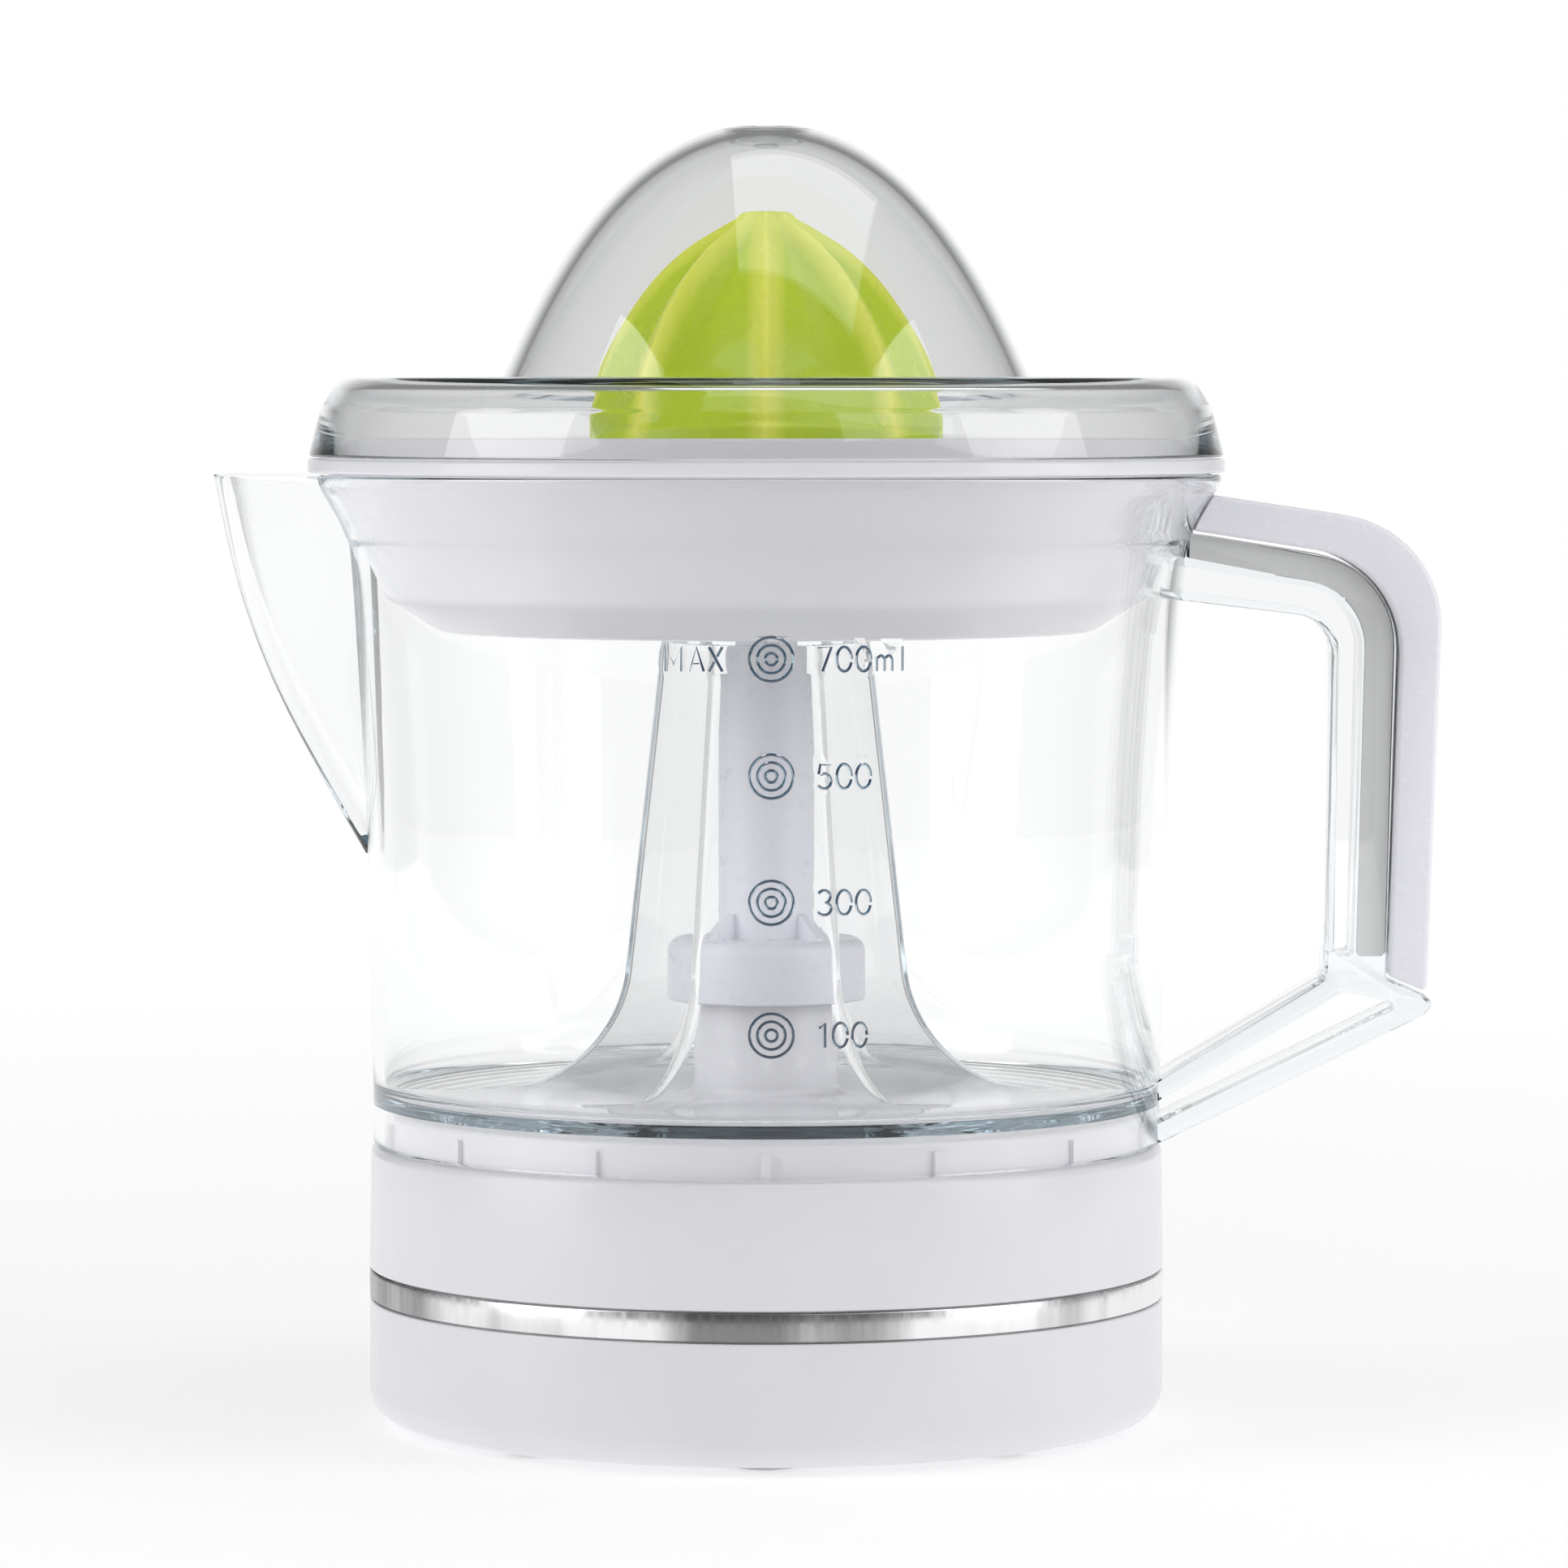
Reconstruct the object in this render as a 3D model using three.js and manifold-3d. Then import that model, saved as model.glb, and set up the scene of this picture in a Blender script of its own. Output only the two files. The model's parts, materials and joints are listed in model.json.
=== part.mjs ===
// Electric citrus press: a clear jug with a strainer, reamer and dust cover, standing on a round
// motor base. Pressing the reamer lowers a spindle onto a switch; the motor turns it through gears.
// Millimetres, +Z up, feet on z = 0. The pieces are drawn about the reamer's axis, and the group
// that holds them is moved along X, so that the juicer's length is centred on the origin.

import * as THREE from "three";
import { mergeVertices, toCreasedNormals } from "three/addons/utils/BufferGeometryUtils.js";
import Module from "manifold-3d";

const wasm = await Module();
wasm.setup();

const REAMER_AXIS_X = -9.35;
const GAP = 0.3; // clearance between neighbouring pieces
const LARGE_ROUND = 40; // facets round the jug, base and lid
const MEDIUM_ROUND = 20;
const SMALL_ROUND = 10;
const CREASE_ANGLE = 0.6;

// Base shell
const BASE_RADIUS = 62.9;
const BASE_WALL = 2.2;
const TRAY_UNDERSIDE = 1.2;
const TRAY_FLOOR = 4.0;
const TRAY_CORNER = 5.5;
const SEAM_HEIGHT = 22.6;
const BAND_BOTTOM = 20.9;
const BAND_TOP = 25.2;
const BAND_THICKNESS = 0.7;
const SHOULDER_HEIGHT = 45.0;
const NECK_RADIUS = 59.3;
const NECK_RIBS = 14;
const DECK_HEIGHT = 50.5;
const DECK_THICKNESS = 2.2;
const TOWER_RADIUS = 11.5;
const TOWER_TOP = 64.0;
const TOWER_BORE = 7.3;
const FOOT_RADIUS = 6.0;
const FOOT_CIRCLE = 47.0;
const SCREW_CIRCLE = 51.0;
const SCREW_BOSS_RADIUS = 4.0;
const GLAND_HEIGHT = 11.0;

// Gear train. Pitch radius is half the module times the tooth count.
const FAST_MODULE = 0.6;
const SLOW_MODULE = 0.8;
const PINION_TEETH = 10;
const WHEEL_TEETH = 60;
const FAST_DISTANCE = (FAST_MODULE * (PINION_TEETH + WHEEL_TEETH)) / 2;
const SLOW_DISTANCE = (SLOW_MODULE * (PINION_TEETH + WHEEL_TEETH)) / 2;
const IDLER_ANGLE = THREE.MathUtils.degToRad(205.6);
const IDLER_X = SLOW_DISTANCE * Math.cos(IDLER_ANGLE);
const IDLER_Y = SLOW_DISTANCE * Math.sin(IDLER_ANGLE);
const MOTOR_ANGLE = THREE.MathUtils.degToRad(-64);
const MOTOR_X = IDLER_X + FAST_DISTANCE * Math.cos(MOTOR_ANGLE);
const MOTOR_Y = IDLER_Y + FAST_DISTANCE * Math.sin(MOTOR_ANGLE);
const FAST_WHEEL_BOTTOM = 31.5;
const FAST_WHEEL_TOP = 35.3;
const SLOW_WHEEL_BOTTOM = 36.8;
const SLOW_WHEEL_TOP = 42.0;
const GEAR_PLATE_BOTTOM = 27.5;
const GEAR_PLATE_TOP = 29.7;
const PLATE_POSTS = [[37, 17], [-20, 37], [24, -36]];

// Motor: a U-shaped stack of laminations with a magnet rotor between its poles
const STACK_BOTTOM = 9.0;
const STACK_TOP = 23.0;
const STACK_HALF_WIDTH = 19.0;
const LEG_WIDTH = 9.0;
const LEG_OFFSET = 12.5; // from the motor's centre line to the middle of a leg
const ROTOR_RADIUS = 10.4;
const ROTOR_SHAFT_RADIUS = 1.5;
const COIL_THICKNESS = 3.0;

// Spindle, switch and drive shaft
const SPINDLE_RADIUS = 4.0;
const SPINDLE_FLAT = 3.2; // half the distance across the spindle's two flats
const SPINDLE_NOSE = 21.2;
const SPINDLE_TOP = 74.7;
const SPRING_BOTTOM = 44.8;
const SPRING_TOP = 51.7;
const LEVER_PIVOT_X = 21.0;
const LEVER_PIVOT_Z = 19.8;
const SHAFT_RADIUS = 7.6;
const SHAFT_FLAT = 6.4;
const SHAFT_COLLAR_RADIUS = 15.0;
const SHAFT_COLLAR_BOTTOM = 67.5;
const SHAFT_COLLAR_TOP = 77.5;
const SHAFT_TOP = 168.3;

// Jug
const JUG_WALL = 1.8;
const JUG_SKIRT_BOTTOM = SHOULDER_HEIGHT + GAP;
const JUG_FLOOR_UNDERSIDE = 51.4;
const JUG_FLOOR = 53.2;
const JUG_RIM = 150.7;
const JUG_OUTLINE = [
  [62.3, JUG_SKIRT_BOTTOM], [62.3, 55], [63.1, 90.8], [64.0, 110.2], [66.1, 135.8],
  [67.6, 142], [71.5, 149], [72.0, JUG_RIM],
];
const CHIMNEY_TOP = 140.0;
const CHIMNEY_WALL = 1.6;
const CHIMNEY_FILLET = 19.0;
const CHIMNEY_BORE = 11.6;
const SPOUT_OUTLINE = [
  [63.5, 90.8], [70.8, 103.7], [77.4, 116.6], [81.9, 128.1], [84.8, 138.4], [87.3, JUG_RIM],
];
const SPOUT_HALF_WIDTH = 17.0;
const SPOUT_WALL = 2.2;

// Handle
const HANDLE_HALF_WIDTH = 9.0;
const HANDLE_WEB = 1.6; // half the thickness of the frame's web
const COVER_HALF_WIDTH = 9.6;

// Strainer, reamer and lid
const STRAINER_UNDERSIDE = 126.0;
const STRAINER_FLOOR = 127.8;
const STRAINER_SLOTS = 36;
const HUB_TOP = 142.1;
const REAMER_BOTTOM = 131.0;
const REAMER_TOP = 191.9;
const REAMER_RIBS = 8;
const REAMER_RIB_HEIGHT = 2.4;
const LID_BOTTOM = 153.5;
const LID_LEDGE = 165.9;
const LID_TOP = 205.9;
const LID_WALL = 2.0;
const LID_DOME_RADIUS = 41.5;

const WHITE = { color: 0xe9e9ee, roughness: 0.35, metalness: 0 };
const CLEAR = { color: 0xdfe7ec, roughness: 0.06, metalness: 0 };
const GREEN = { color: 0xa9bf35, roughness: 0.3, metalness: 0 };
const LAVENDER = { color: 0xdedeea, roughness: 0.4, metalness: 0 };
const BRUSHED_STEEL = { color: 0xb9bbbe, roughness: 0.3, metalness: 1 };
const STEEL = { color: 0x9a9ca0, roughness: 0.35, metalness: 1 };
const LAMINATION = { color: 0x55565a, roughness: 0.55, metalness: 0.8 };
const COPPER = { color: 0xa9582b, roughness: 0.4, metalness: 0.7 };
const FERRITE = { color: 0x2e2e31, roughness: 0.6, metalness: 0.1 };
const NYLON = { color: 0xe6e2d2, roughness: 0.45, metalness: 0 };
const ACETAL = { color: 0xf0efe9, roughness: 0.4, metalness: 0 };
const BRONZE = { color: 0xa9793f, roughness: 0.4, metalness: 0.9 };
const BLACK_PLASTIC = { color: 0x222226, roughness: 0.5, metalness: 0 };
const RUBBER = { color: 0x4a4a4e, roughness: 0.85, metalness: 0 };

// ---------------------------------------------------------------- shape helpers

function toSolid(geometry) {
  const bare = geometry.clone();
  bare.deleteAttribute("normal");
  bare.deleteAttribute("uv");
  const welded = mergeVertices(bare, 1e-4);
  const corners = welded.index.array;
  const triangles = [];
  for (let i = 0; i < corners.length; i += 3) {
    const [a, b, c] = corners.subarray(i, i + 3);
    if (a !== b && b !== c && c !== a) triangles.push(a, b, c);
  }
  const mesh = new wasm.Mesh({
    numProp: 3,
    vertProperties: new Float32Array(welded.attributes.position.array),
    triVerts: new Uint32Array(triangles),
  });
  return new wasm.Manifold(mesh);
}

function toGeometry(solid) {
  const mesh = solid.getMesh();
  const geometry = new THREE.BufferGeometry();
  geometry.setAttribute("position", new THREE.Float32BufferAttribute(mesh.vertProperties, 3));
  geometry.setIndex(Array.from(mesh.triVerts));
  return geometry;
}

function join(...geometries) {
  const solids = geometries.map(toSolid);
  return toGeometry(solids.reduce((whole, solid) => whole.add(solid)));
}

function cut(geometry, ...tools) {
  const solids = tools.map(toSolid);
  return toGeometry(solids.reduce((rest, tool) => rest.subtract(tool), toSolid(geometry)));
}

function keepCommon(geometry, other) {
  return toGeometry(toSolid(geometry).intersect(toSolid(other)));
}

// Turns an outline of [radius, height] points about Z. An outline that stays off the axis is closed.
function revolve(outline, facets = LARGE_ROUND) {
  const points = outline.map(([radius, height]) => new THREE.Vector2(radius, height));
  const last = points[points.length - 1];
  if (points[0].x > 0 || last.x > 0) points.push(points[0].clone());
  const counterClockwise = THREE.ShapeUtils.area(points) > 0;
  if (!counterClockwise) points.reverse();
  return new THREE.LatheGeometry(points, facets).rotateX(Math.PI / 2);
}

function rod(radius, bottom, top, x = 0, y = 0, facets = MEDIUM_ROUND) {
  const geometry = new THREE.CylinderGeometry(radius, radius, top - bottom, facets);
  geometry.rotateX(Math.PI / 2);
  geometry.translate(x, y, (bottom + top) / 2);
  return geometry;
}

function rodAlongY(radius, front, back, x, z, facets = MEDIUM_ROUND) {
  const geometry = new THREE.CylinderGeometry(radius, radius, back - front, facets);
  geometry.translate(x, (front + back) / 2, z);
  return geometry;
}

function box(x0, x1, y0, y1, z0, z1) {
  const geometry = new THREE.BoxGeometry(x1 - x0, y1 - y0, z1 - z0);
  geometry.translate((x0 + x1) / 2, (y0 + y1) / 2, (z0 + z1) / 2);
  return geometry;
}

function shapeOf(points) {
  return new THREE.Shape(points.map(([x, y]) => new THREE.Vector2(x, y)));
}

// A flat outline in XY raised from bottom to top.
function slab(points, bottom, top) {
  const geometry = new THREE.ExtrudeGeometry(shapeOf(points), { depth: top - bottom, bevelEnabled: false });
  geometry.translate(0, 0, bottom);
  return geometry;
}

// An outline of [x, z] points given a thickness along Y, from -halfWidth to +halfWidth.
function sideSlab(points, halfWidth) {
  const geometry = new THREE.ExtrudeGeometry(shapeOf(points), { depth: 2 * halfWidth, bevelEnabled: false });
  geometry.translate(0, 0, -halfWidth);
  geometry.rotateX(Math.PI / 2);
  return geometry;
}

// Skins a stack of rings that all have the same number of points and turn the same way.
function loft(rings) {
  const count = rings[0].length;
  const vertices = rings.flat();
  const firstCentre = vertices.length;
  vertices.push(centreOf(rings[0]));
  vertices.push(centreOf(rings[rings.length - 1]));
  const triangles = [];
  for (let ring = 0; ring + 1 < rings.length; ring++) {
    for (let i = 0; i < count; i++) {
      const next = (i + 1) % count;
      const a = ring * count + i;
      const b = ring * count + next;
      triangles.push(a, b, b + count, a, b + count, a + count);
    }
  }
  const top = (rings.length - 1) * count;
  for (let i = 0; i < count; i++) {
    const next = (i + 1) % count;
    triangles.push(firstCentre, next, i);
    triangles.push(firstCentre + 1, top + i, top + next);
  }
  const geometry = new THREE.BufferGeometry();
  geometry.setAttribute("position", new THREE.Float32BufferAttribute(vertices.flat(), 3));
  geometry.setIndex(triangles);
  return geometry;
}

function centreOf(ring) {
  return [0, 1, 2].map((axis) => ring.reduce((sum, point) => sum + point[axis], 0) / ring.length);
}

// Height-to-size tables are short outlines of [size, height]; this reads between their points.
function sizeAt(outline, height) {
  let above = outline.findIndex(([, z]) => z >= height);
  if (above < 0) above = outline.length - 1;
  if (above === 0) above = 1;
  const [sizeLow, low] = outline[above - 1];
  const [sizeHigh, high] = outline[above];
  return sizeLow + ((sizeHigh - sizeLow) * (height - low)) / (high - low);
}

function evenly(count, first, last) {
  return Array.from({ length: count }, (_, i) => first + ((last - first) * i) / (count - 1));
}

function aroundCircle(count, radius, startDegrees = 0) {
  return Array.from({ length: count }, (_, i) => {
    const angle = THREE.MathUtils.degToRad(startDegrees + (360 * i) / count);
    return [radius * Math.cos(angle), radius * Math.sin(angle), angle];
  });
}

// Keeps only what lies between two flats, as on a shaft that carries a drive.
function flatten(geometry, halfWidth, bottom, top) {
  return keepCommon(geometry, box(-halfWidth, halfWidth, -50, 50, bottom, top));
}

function piece(name, geometry, look) {
  const closed = toCreasedNormals(toGeometry(toSolid(geometry)), CREASE_ANGLE);
  const mesh = new THREE.Mesh(closed, new THREE.MeshStandardMaterial(look));
  mesh.name = name;
  return mesh;
}

function placed(object, x, y, z = 0) {
  object.position.set(x, y, z);
  return object;
}

function group(name, ...children) {
  const holder = new THREE.Group();
  holder.name = name;
  holder.add(...children);
  return holder;
}

// ---------------------------------------------------------------- base shell

const screwPlaces = aroundCircle(4, SCREW_CIRCLE, 45);
const footPlaces = aroundCircle(4, FOOT_CIRCLE, 0);

function baseTray() {
  const inside = BASE_RADIUS - BASE_WALL;
  const behindBand = BASE_RADIUS - BAND_THICKNESS - GAP;
  const cornerSteps = [30, 60, 90].map((degrees) => {
    const angle = THREE.MathUtils.degToRad(degrees);
    const centreRadius = BASE_RADIUS - TRAY_CORNER;
    const centreHeight = TRAY_UNDERSIDE + TRAY_CORNER;
    return [
      centreRadius + TRAY_CORNER * Math.sin(angle),
      centreHeight - TRAY_CORNER * Math.cos(angle),
    ];
  });
  const shell = revolve([
    [0, TRAY_UNDERSIDE], [BASE_RADIUS - TRAY_CORNER, TRAY_UNDERSIDE], ...cornerSteps,
    [BASE_RADIUS, BAND_BOTTOM - GAP], [behindBand, BAND_BOTTOM - GAP], [behindBand, SEAM_HEIGHT],
    [inside, SEAM_HEIGHT], [inside, TRAY_FLOOR + 3], [inside - 3, TRAY_FLOOR], [0, TRAY_FLOOR],
  ]);
  const bosses = screwPlaces.map(([x, y]) => rod(SCREW_BOSS_RADIUS, TRAY_FLOOR - 0.5, 8, x, y, SMALL_ROUND));
  const screwHoles = screwPlaces.flatMap(([x, y]) => [
    rod(3.6, 0, 4.8, x, y, SMALL_ROUND),
    rod(1.8, 0, 9, x, y, SMALL_ROUND),
  ]);
  const footPockets = footPlaces.map(([x, y]) => rod(FOOT_RADIUS + GAP, 0, 2.9, x, y, SMALL_ROUND));
  const ventSlots = evenly(5, -16, 16).map((x) => box(x - 1.2, x + 1.2, -38, -22, 0, 5));
  const glandHole = rodAlongY(4.2, 50, 70, 0, GLAND_HEIGHT, SMALL_ROUND);
  return cut(join(shell, ...bosses), ...screwHoles, ...footPockets, ...ventSlots, glandHole);
}

function baseHousing() {
  const inside = BASE_RADIUS - BASE_WALL;
  const insideNeck = NECK_RADIUS - BASE_WALL;
  const behindBand = BASE_RADIUS - BAND_THICKNESS - GAP;
  const deckUnderside = DECK_HEIGHT - DECK_THICKNESS;
  const shell = revolve([
    [behindBand, SEAM_HEIGHT + GAP], [behindBand, BAND_TOP + GAP], [BASE_RADIUS, BAND_TOP + GAP],
    [BASE_RADIUS - 0.3, SHOULDER_HEIGHT - 1.2], [BASE_RADIUS - 1.4, SHOULDER_HEIGHT],
    [NECK_RADIUS, SHOULDER_HEIGHT], [NECK_RADIUS, DECK_HEIGHT - 1], [NECK_RADIUS - 1, DECK_HEIGHT],
    [TOWER_RADIUS + 2.5, DECK_HEIGHT], [TOWER_RADIUS, DECK_HEIGHT + 3], [TOWER_RADIUS, TOWER_TOP - 0.8],
    [TOWER_RADIUS - 0.8, TOWER_TOP], [TOWER_BORE, TOWER_TOP], [TOWER_BORE, deckUnderside],
    [insideNeck, deckUnderside], [insideNeck, SHOULDER_HEIGHT - BASE_WALL],
    [inside, SHOULDER_HEIGHT - BASE_WALL - 1], [inside, SEAM_HEIGHT + GAP],
  ]);
  const neckRibs = aroundCircle(NECK_RIBS, NECK_RADIUS, 270).map(([x, y, angle]) => {
    const rib = box(-0.8, 0.8, -0.6, 0.6, SHOULDER_HEIGHT - 0.5, DECK_HEIGHT - 1.5);
    return rib.rotateZ(angle).translate(x, y, 0);
  });
  const screwBosses = screwPlaces.map(([x, y]) =>
    rod(SCREW_BOSS_RADIUS, 8 + GAP, deckUnderside + 1, x, y, SMALL_ROUND));
  const pilotHoles = screwPlaces.map(([x, y]) => rod(1.8, 0, 18, x, y, SMALL_ROUND));
  const posts = PLATE_POSTS.map(([x, y]) =>
    rod(3.4, GEAR_PLATE_TOP + GAP, deckUnderside + 1, x, y, SMALL_ROUND));
  const postHoles = PLATE_POSTS.map(([x, y]) => rod(1.8, 0, 39, x, y, SMALL_ROUND));
  return cut(join(shell, ...neckRibs, ...screwBosses, ...posts), ...pilotHoles, ...postHoles);
}

function trimBand() {
  const inner = BASE_RADIUS - BAND_THICKNESS;
  return revolve([
    [inner, BAND_BOTTOM], [BASE_RADIUS, BAND_BOTTOM], [BASE_RADIUS, BAND_TOP], [inner, BAND_TOP],
  ]);
}

function foot() {
  return revolve([[0, 0], [FOOT_RADIUS - 1, 0], [FOOT_RADIUS, 0.8], [FOOT_RADIUS, 2.6], [0, 2.6]], 16);
}

// A pan-head screw driven upward: the head's underside is at headTop.
function screw(headBottom, headTop, tip, headRadius) {
  const head = rod(headRadius, headBottom, headTop, 0, 0, SMALL_ROUND);
  const shank = rod(1.4, headTop - 0.5, tip, 0, 0, SMALL_ROUND);
  const slot = box(-headRadius, headRadius, -0.4, 0.4, headBottom - 1, headBottom + 0.7);
  return cut(join(head, shank), slot);
}

// Drawn about the hole's centre in the outer face of the wall.
function cordGland() {
  const sleeve = rodAlongY(3.9, -BASE_WALL - 3.5, 3, 0, 0, SMALL_ROUND);
  const outerFlange = rodAlongY(6, GAP, 3, 0, 0, SMALL_ROUND);
  const innerFlange = rodAlongY(5.4, -BASE_WALL - 3.5, -BASE_WALL - 1.5, 0, 0, SMALL_ROUND);
  const cordHole = rodAlongY(2.6, -20, 20, 0, 0, SMALL_ROUND);
  return cut(join(sleeve, outerFlange, innerFlange), cordHole);
}

function towerBush() {
  return revolve([
    [SPINDLE_RADIUS + GAP, 54.2], [TOWER_BORE - GAP, 54.2],
    [TOWER_BORE - GAP, TOWER_TOP], [SPINDLE_RADIUS + GAP, TOWER_TOP],
  ], MEDIUM_ROUND);
}

// ---------------------------------------------------------------- motor

// The motor is drawn about its rotor's axis.
function motorCore() {
  const poleReach = 13;
  const yokeStart = poleReach + 20;
  const yokeEnd = yokeStart + 10;
  const legOuter = LEG_OFFSET + LEG_WIDTH / 2;
  const legInner = LEG_OFFSET - LEG_WIDTH / 2;
  const outline = [
    [-poleReach, -STACK_HALF_WIDTH], [poleReach, -STACK_HALF_WIDTH], [poleReach, -legOuter],
    [yokeEnd, -legOuter], [yokeEnd, legOuter],
    [poleReach, legOuter], [poleReach, STACK_HALF_WIDTH], [-poleReach, STACK_HALF_WIDTH],
  ];
  const blank = slab(outline, STACK_BOTTOM, STACK_TOP);
  const window = box(poleReach, yokeStart, -legInner, legInner, 0, 40);
  const rotorBore = rod(ROTOR_RADIUS + 0.7, 0, 40);
  const poleSlot = box(-poleReach - 1, poleReach + 1, -2, 2, 0, 40);
  return cut(blank, window, rotorBore, poleSlot);
}

// A winding on its bobbin, drawn about the middle line of the leg that it sits on.
function motorCoil() {
  const middleZ = (STACK_BOTTOM + STACK_TOP) / 2;
  const holeY = LEG_WIDTH / 2 + GAP;
  const holeZ = (STACK_TOP - STACK_BOTTOM) / 2 + GAP;
  const start = 14;
  const end = start + 18;
  const around = (x0, x1, thickness) => box(
    x0, x1, -holeY - thickness, holeY + thickness, middleZ - holeZ - thickness, middleZ + holeZ + thickness,
  );
  const winding = around(start, end, COIL_THICKNESS);
  const nearFlange = around(start, start + 1.2, COIL_THICKNESS + 0.6);
  const farFlange = around(end - 1.2, end, COIL_THICKNESS + 0.6);
  const hole = around(start - 1, end + 1, 0);
  return cut(join(winding, nearFlange, farFlange), hole);
}

function motorBracket(plateBottom, plateTop, bossBottom, bossTop) {
  const plate = box(-6, 6, -STACK_HALF_WIDTH, STACK_HALF_WIDTH, plateBottom, plateTop);
  const boss = rod(4.2, bossBottom, bossTop, 0, 0, SMALL_ROUND);
  const hole = rod(ROTOR_SHAFT_RADIUS + GAP, 0, 40, 0, 0, SMALL_ROUND);
  return cut(join(plate, boss), hole);
}

// One tooth of the pinion points along +X.
function rotor() {
  const magnet = rod(ROTOR_RADIUS, STACK_BOTTOM + 0.4, STACK_TOP - 0.4);
  const shaft = rod(ROTOR_SHAFT_RADIUS, 5.2, FAST_WHEEL_TOP + 1, 0, 0, SMALL_ROUND);
  const pinion = gear(FAST_MODULE, PINION_TEETH, 0, FAST_WHEEL_BOTTOM, FAST_WHEEL_TOP);
  return join(magnet, shaft, pinion);
}

// ---------------------------------------------------------------- gears

// A toothed disc about Z with one tooth centred on toothDirection.
function gear(module, teeth, toothDirection, bottom, top) {
  const rootRadius = module * (teeth / 2 - 1.2);
  const tipRadius = module * (teeth / 2 + 0.8);
  const toothPitch = (2 * Math.PI) / teeth;
  const flank = [[rootRadius, 0.3], [tipRadius, 0.1]]; // [radius, half width as a share of the pitch]
  const points = [];
  for (let tooth = 0; tooth < teeth; tooth++) {
    const middle = toothDirection + tooth * toothPitch;
    const rising = flank.map(([radius, share]) => [radius, middle - share * toothPitch]);
    const falling = flank.map(([radius, share]) => [radius, middle + share * toothPitch]).reverse();
    for (const [radius, angle] of [...rising, ...falling]) {
      points.push([radius * Math.cos(angle), radius * Math.sin(angle)]);
    }
  }
  return slab(points, bottom, top);
}

function intermediateGear() {
  const halfTooth = Math.PI / WHEEL_TEETH;
  const wheel = gear(FAST_MODULE, WHEEL_TEETH, MOTOR_ANGLE + halfTooth, FAST_WHEEL_BOTTOM, FAST_WHEEL_TOP);
  const toOutput = IDLER_ANGLE + Math.PI;
  const pinion = gear(SLOW_MODULE, PINION_TEETH, toOutput, FAST_WHEEL_TOP - 0.5, SLOW_WHEEL_TOP + 0.8);
  const bore = rod(ROTOR_SHAFT_RADIUS + GAP, 0, 60, 0, 0, SMALL_ROUND);
  return cut(join(wheel, pinion), bore);
}

function outputGear() {
  const halfTooth = Math.PI / WHEEL_TEETH;
  const wheel = gear(SLOW_MODULE, WHEEL_TEETH, IDLER_ANGLE + halfTooth, SLOW_WHEEL_BOTTOM, SLOW_WHEEL_TOP);
  const hub = rod(8, GEAR_PLATE_TOP + GAP, SPRING_BOTTOM - GAP);
  const bore = flatten(rod(SPINDLE_RADIUS + 0.25, 20, 60), SPINDLE_FLAT + 0.25, 20, 60);
  const recess = revolve([[9.5, 40.5], [20.5, 40.5], [20.5, 45], [9.5, 45]], MEDIUM_ROUND);
  return cut(join(wheel, hub), bore, recess);
}

function gearPlate() {
  const corners = [
    [44, 14], [40, 24], [-18, 44], [-28, 40], [-42, -10], [-27, -37], [2, -44], [22, -43], [29, -36],
  ];
  const plate = slab(corners, GEAR_PLATE_BOTTOM, GEAR_PLATE_TOP);
  const spindleHole = rod(SPINDLE_RADIUS + 0.4, 0, 60);
  const axleHole = rod(ROTOR_SHAFT_RADIUS + GAP, 0, 60, IDLER_X, IDLER_Y, SMALL_ROUND);
  const rotorHole = rod(5, 0, 60, MOTOR_X, MOTOR_Y, SMALL_ROUND);
  const screwHoles = PLATE_POSTS.map(([x, y]) => rod(1.8, 0, 60, x, y, SMALL_ROUND));
  return cut(plate, spindleHole, axleHole, rotorHole, ...screwHoles);
}

function idlerAxle() {
  return rod(ROTOR_SHAFT_RADIUS, GEAR_PLATE_BOTTOM, DECK_HEIGHT - DECK_THICKNESS - 2, 0, 0, SMALL_ROUND);
}

// ---------------------------------------------------------------- spindle and switch

function outputSpindle() {
  const barBottom = SPINDLE_NOSE + 3.5;
  const bar = revolve([
    [0, SPINDLE_NOSE], [1.5, SPINDLE_NOSE], [SPINDLE_RADIUS, barBottom], [SPINDLE_RADIUS, 52],
    [6.6, 52], [6.6, 53.6], [SPINDLE_RADIUS, 53.6], [SPINDLE_RADIUS, SPINDLE_TOP - 1],
    [SPINDLE_RADIUS - 1, SPINDLE_TOP], [0, SPINDLE_TOP],
  ], MEDIUM_ROUND);
  const flatsFor = (bottom, top) => [
    box(SPINDLE_FLAT, 8, -8, 8, bottom, top),
    box(-8, -SPINDLE_FLAT, -8, 8, bottom, top),
  ];
  return cut(bar, ...flatsFor(barBottom, SPRING_BOTTOM + 2.8), ...flatsFor(TOWER_TOP + 0.3, 80));
}

function returnSpring() {
  const wireRadius = 0.5;
  const coilRadius = 5.7;
  const turns = 4;
  const steps = 10 * turns;
  const lowest = SPRING_BOTTOM + wireRadius;
  const highest = SPRING_TOP - wireRadius;
  const rings = evenly(steps + 1, 0, 1).map((along) => {
    const turn = 2 * Math.PI * turns * along;
    const height = lowest + (highest - lowest) * along;
    return evenly(5, 0, 288).map((degrees) => {
      const around = THREE.MathUtils.degToRad(degrees);
      const radius = coilRadius + wireRadius * Math.cos(around);
      return [radius * Math.cos(turn), radius * Math.sin(turn), height - wireRadius * Math.sin(around)];
    });
  });
  return loft(rings);
}

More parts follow.
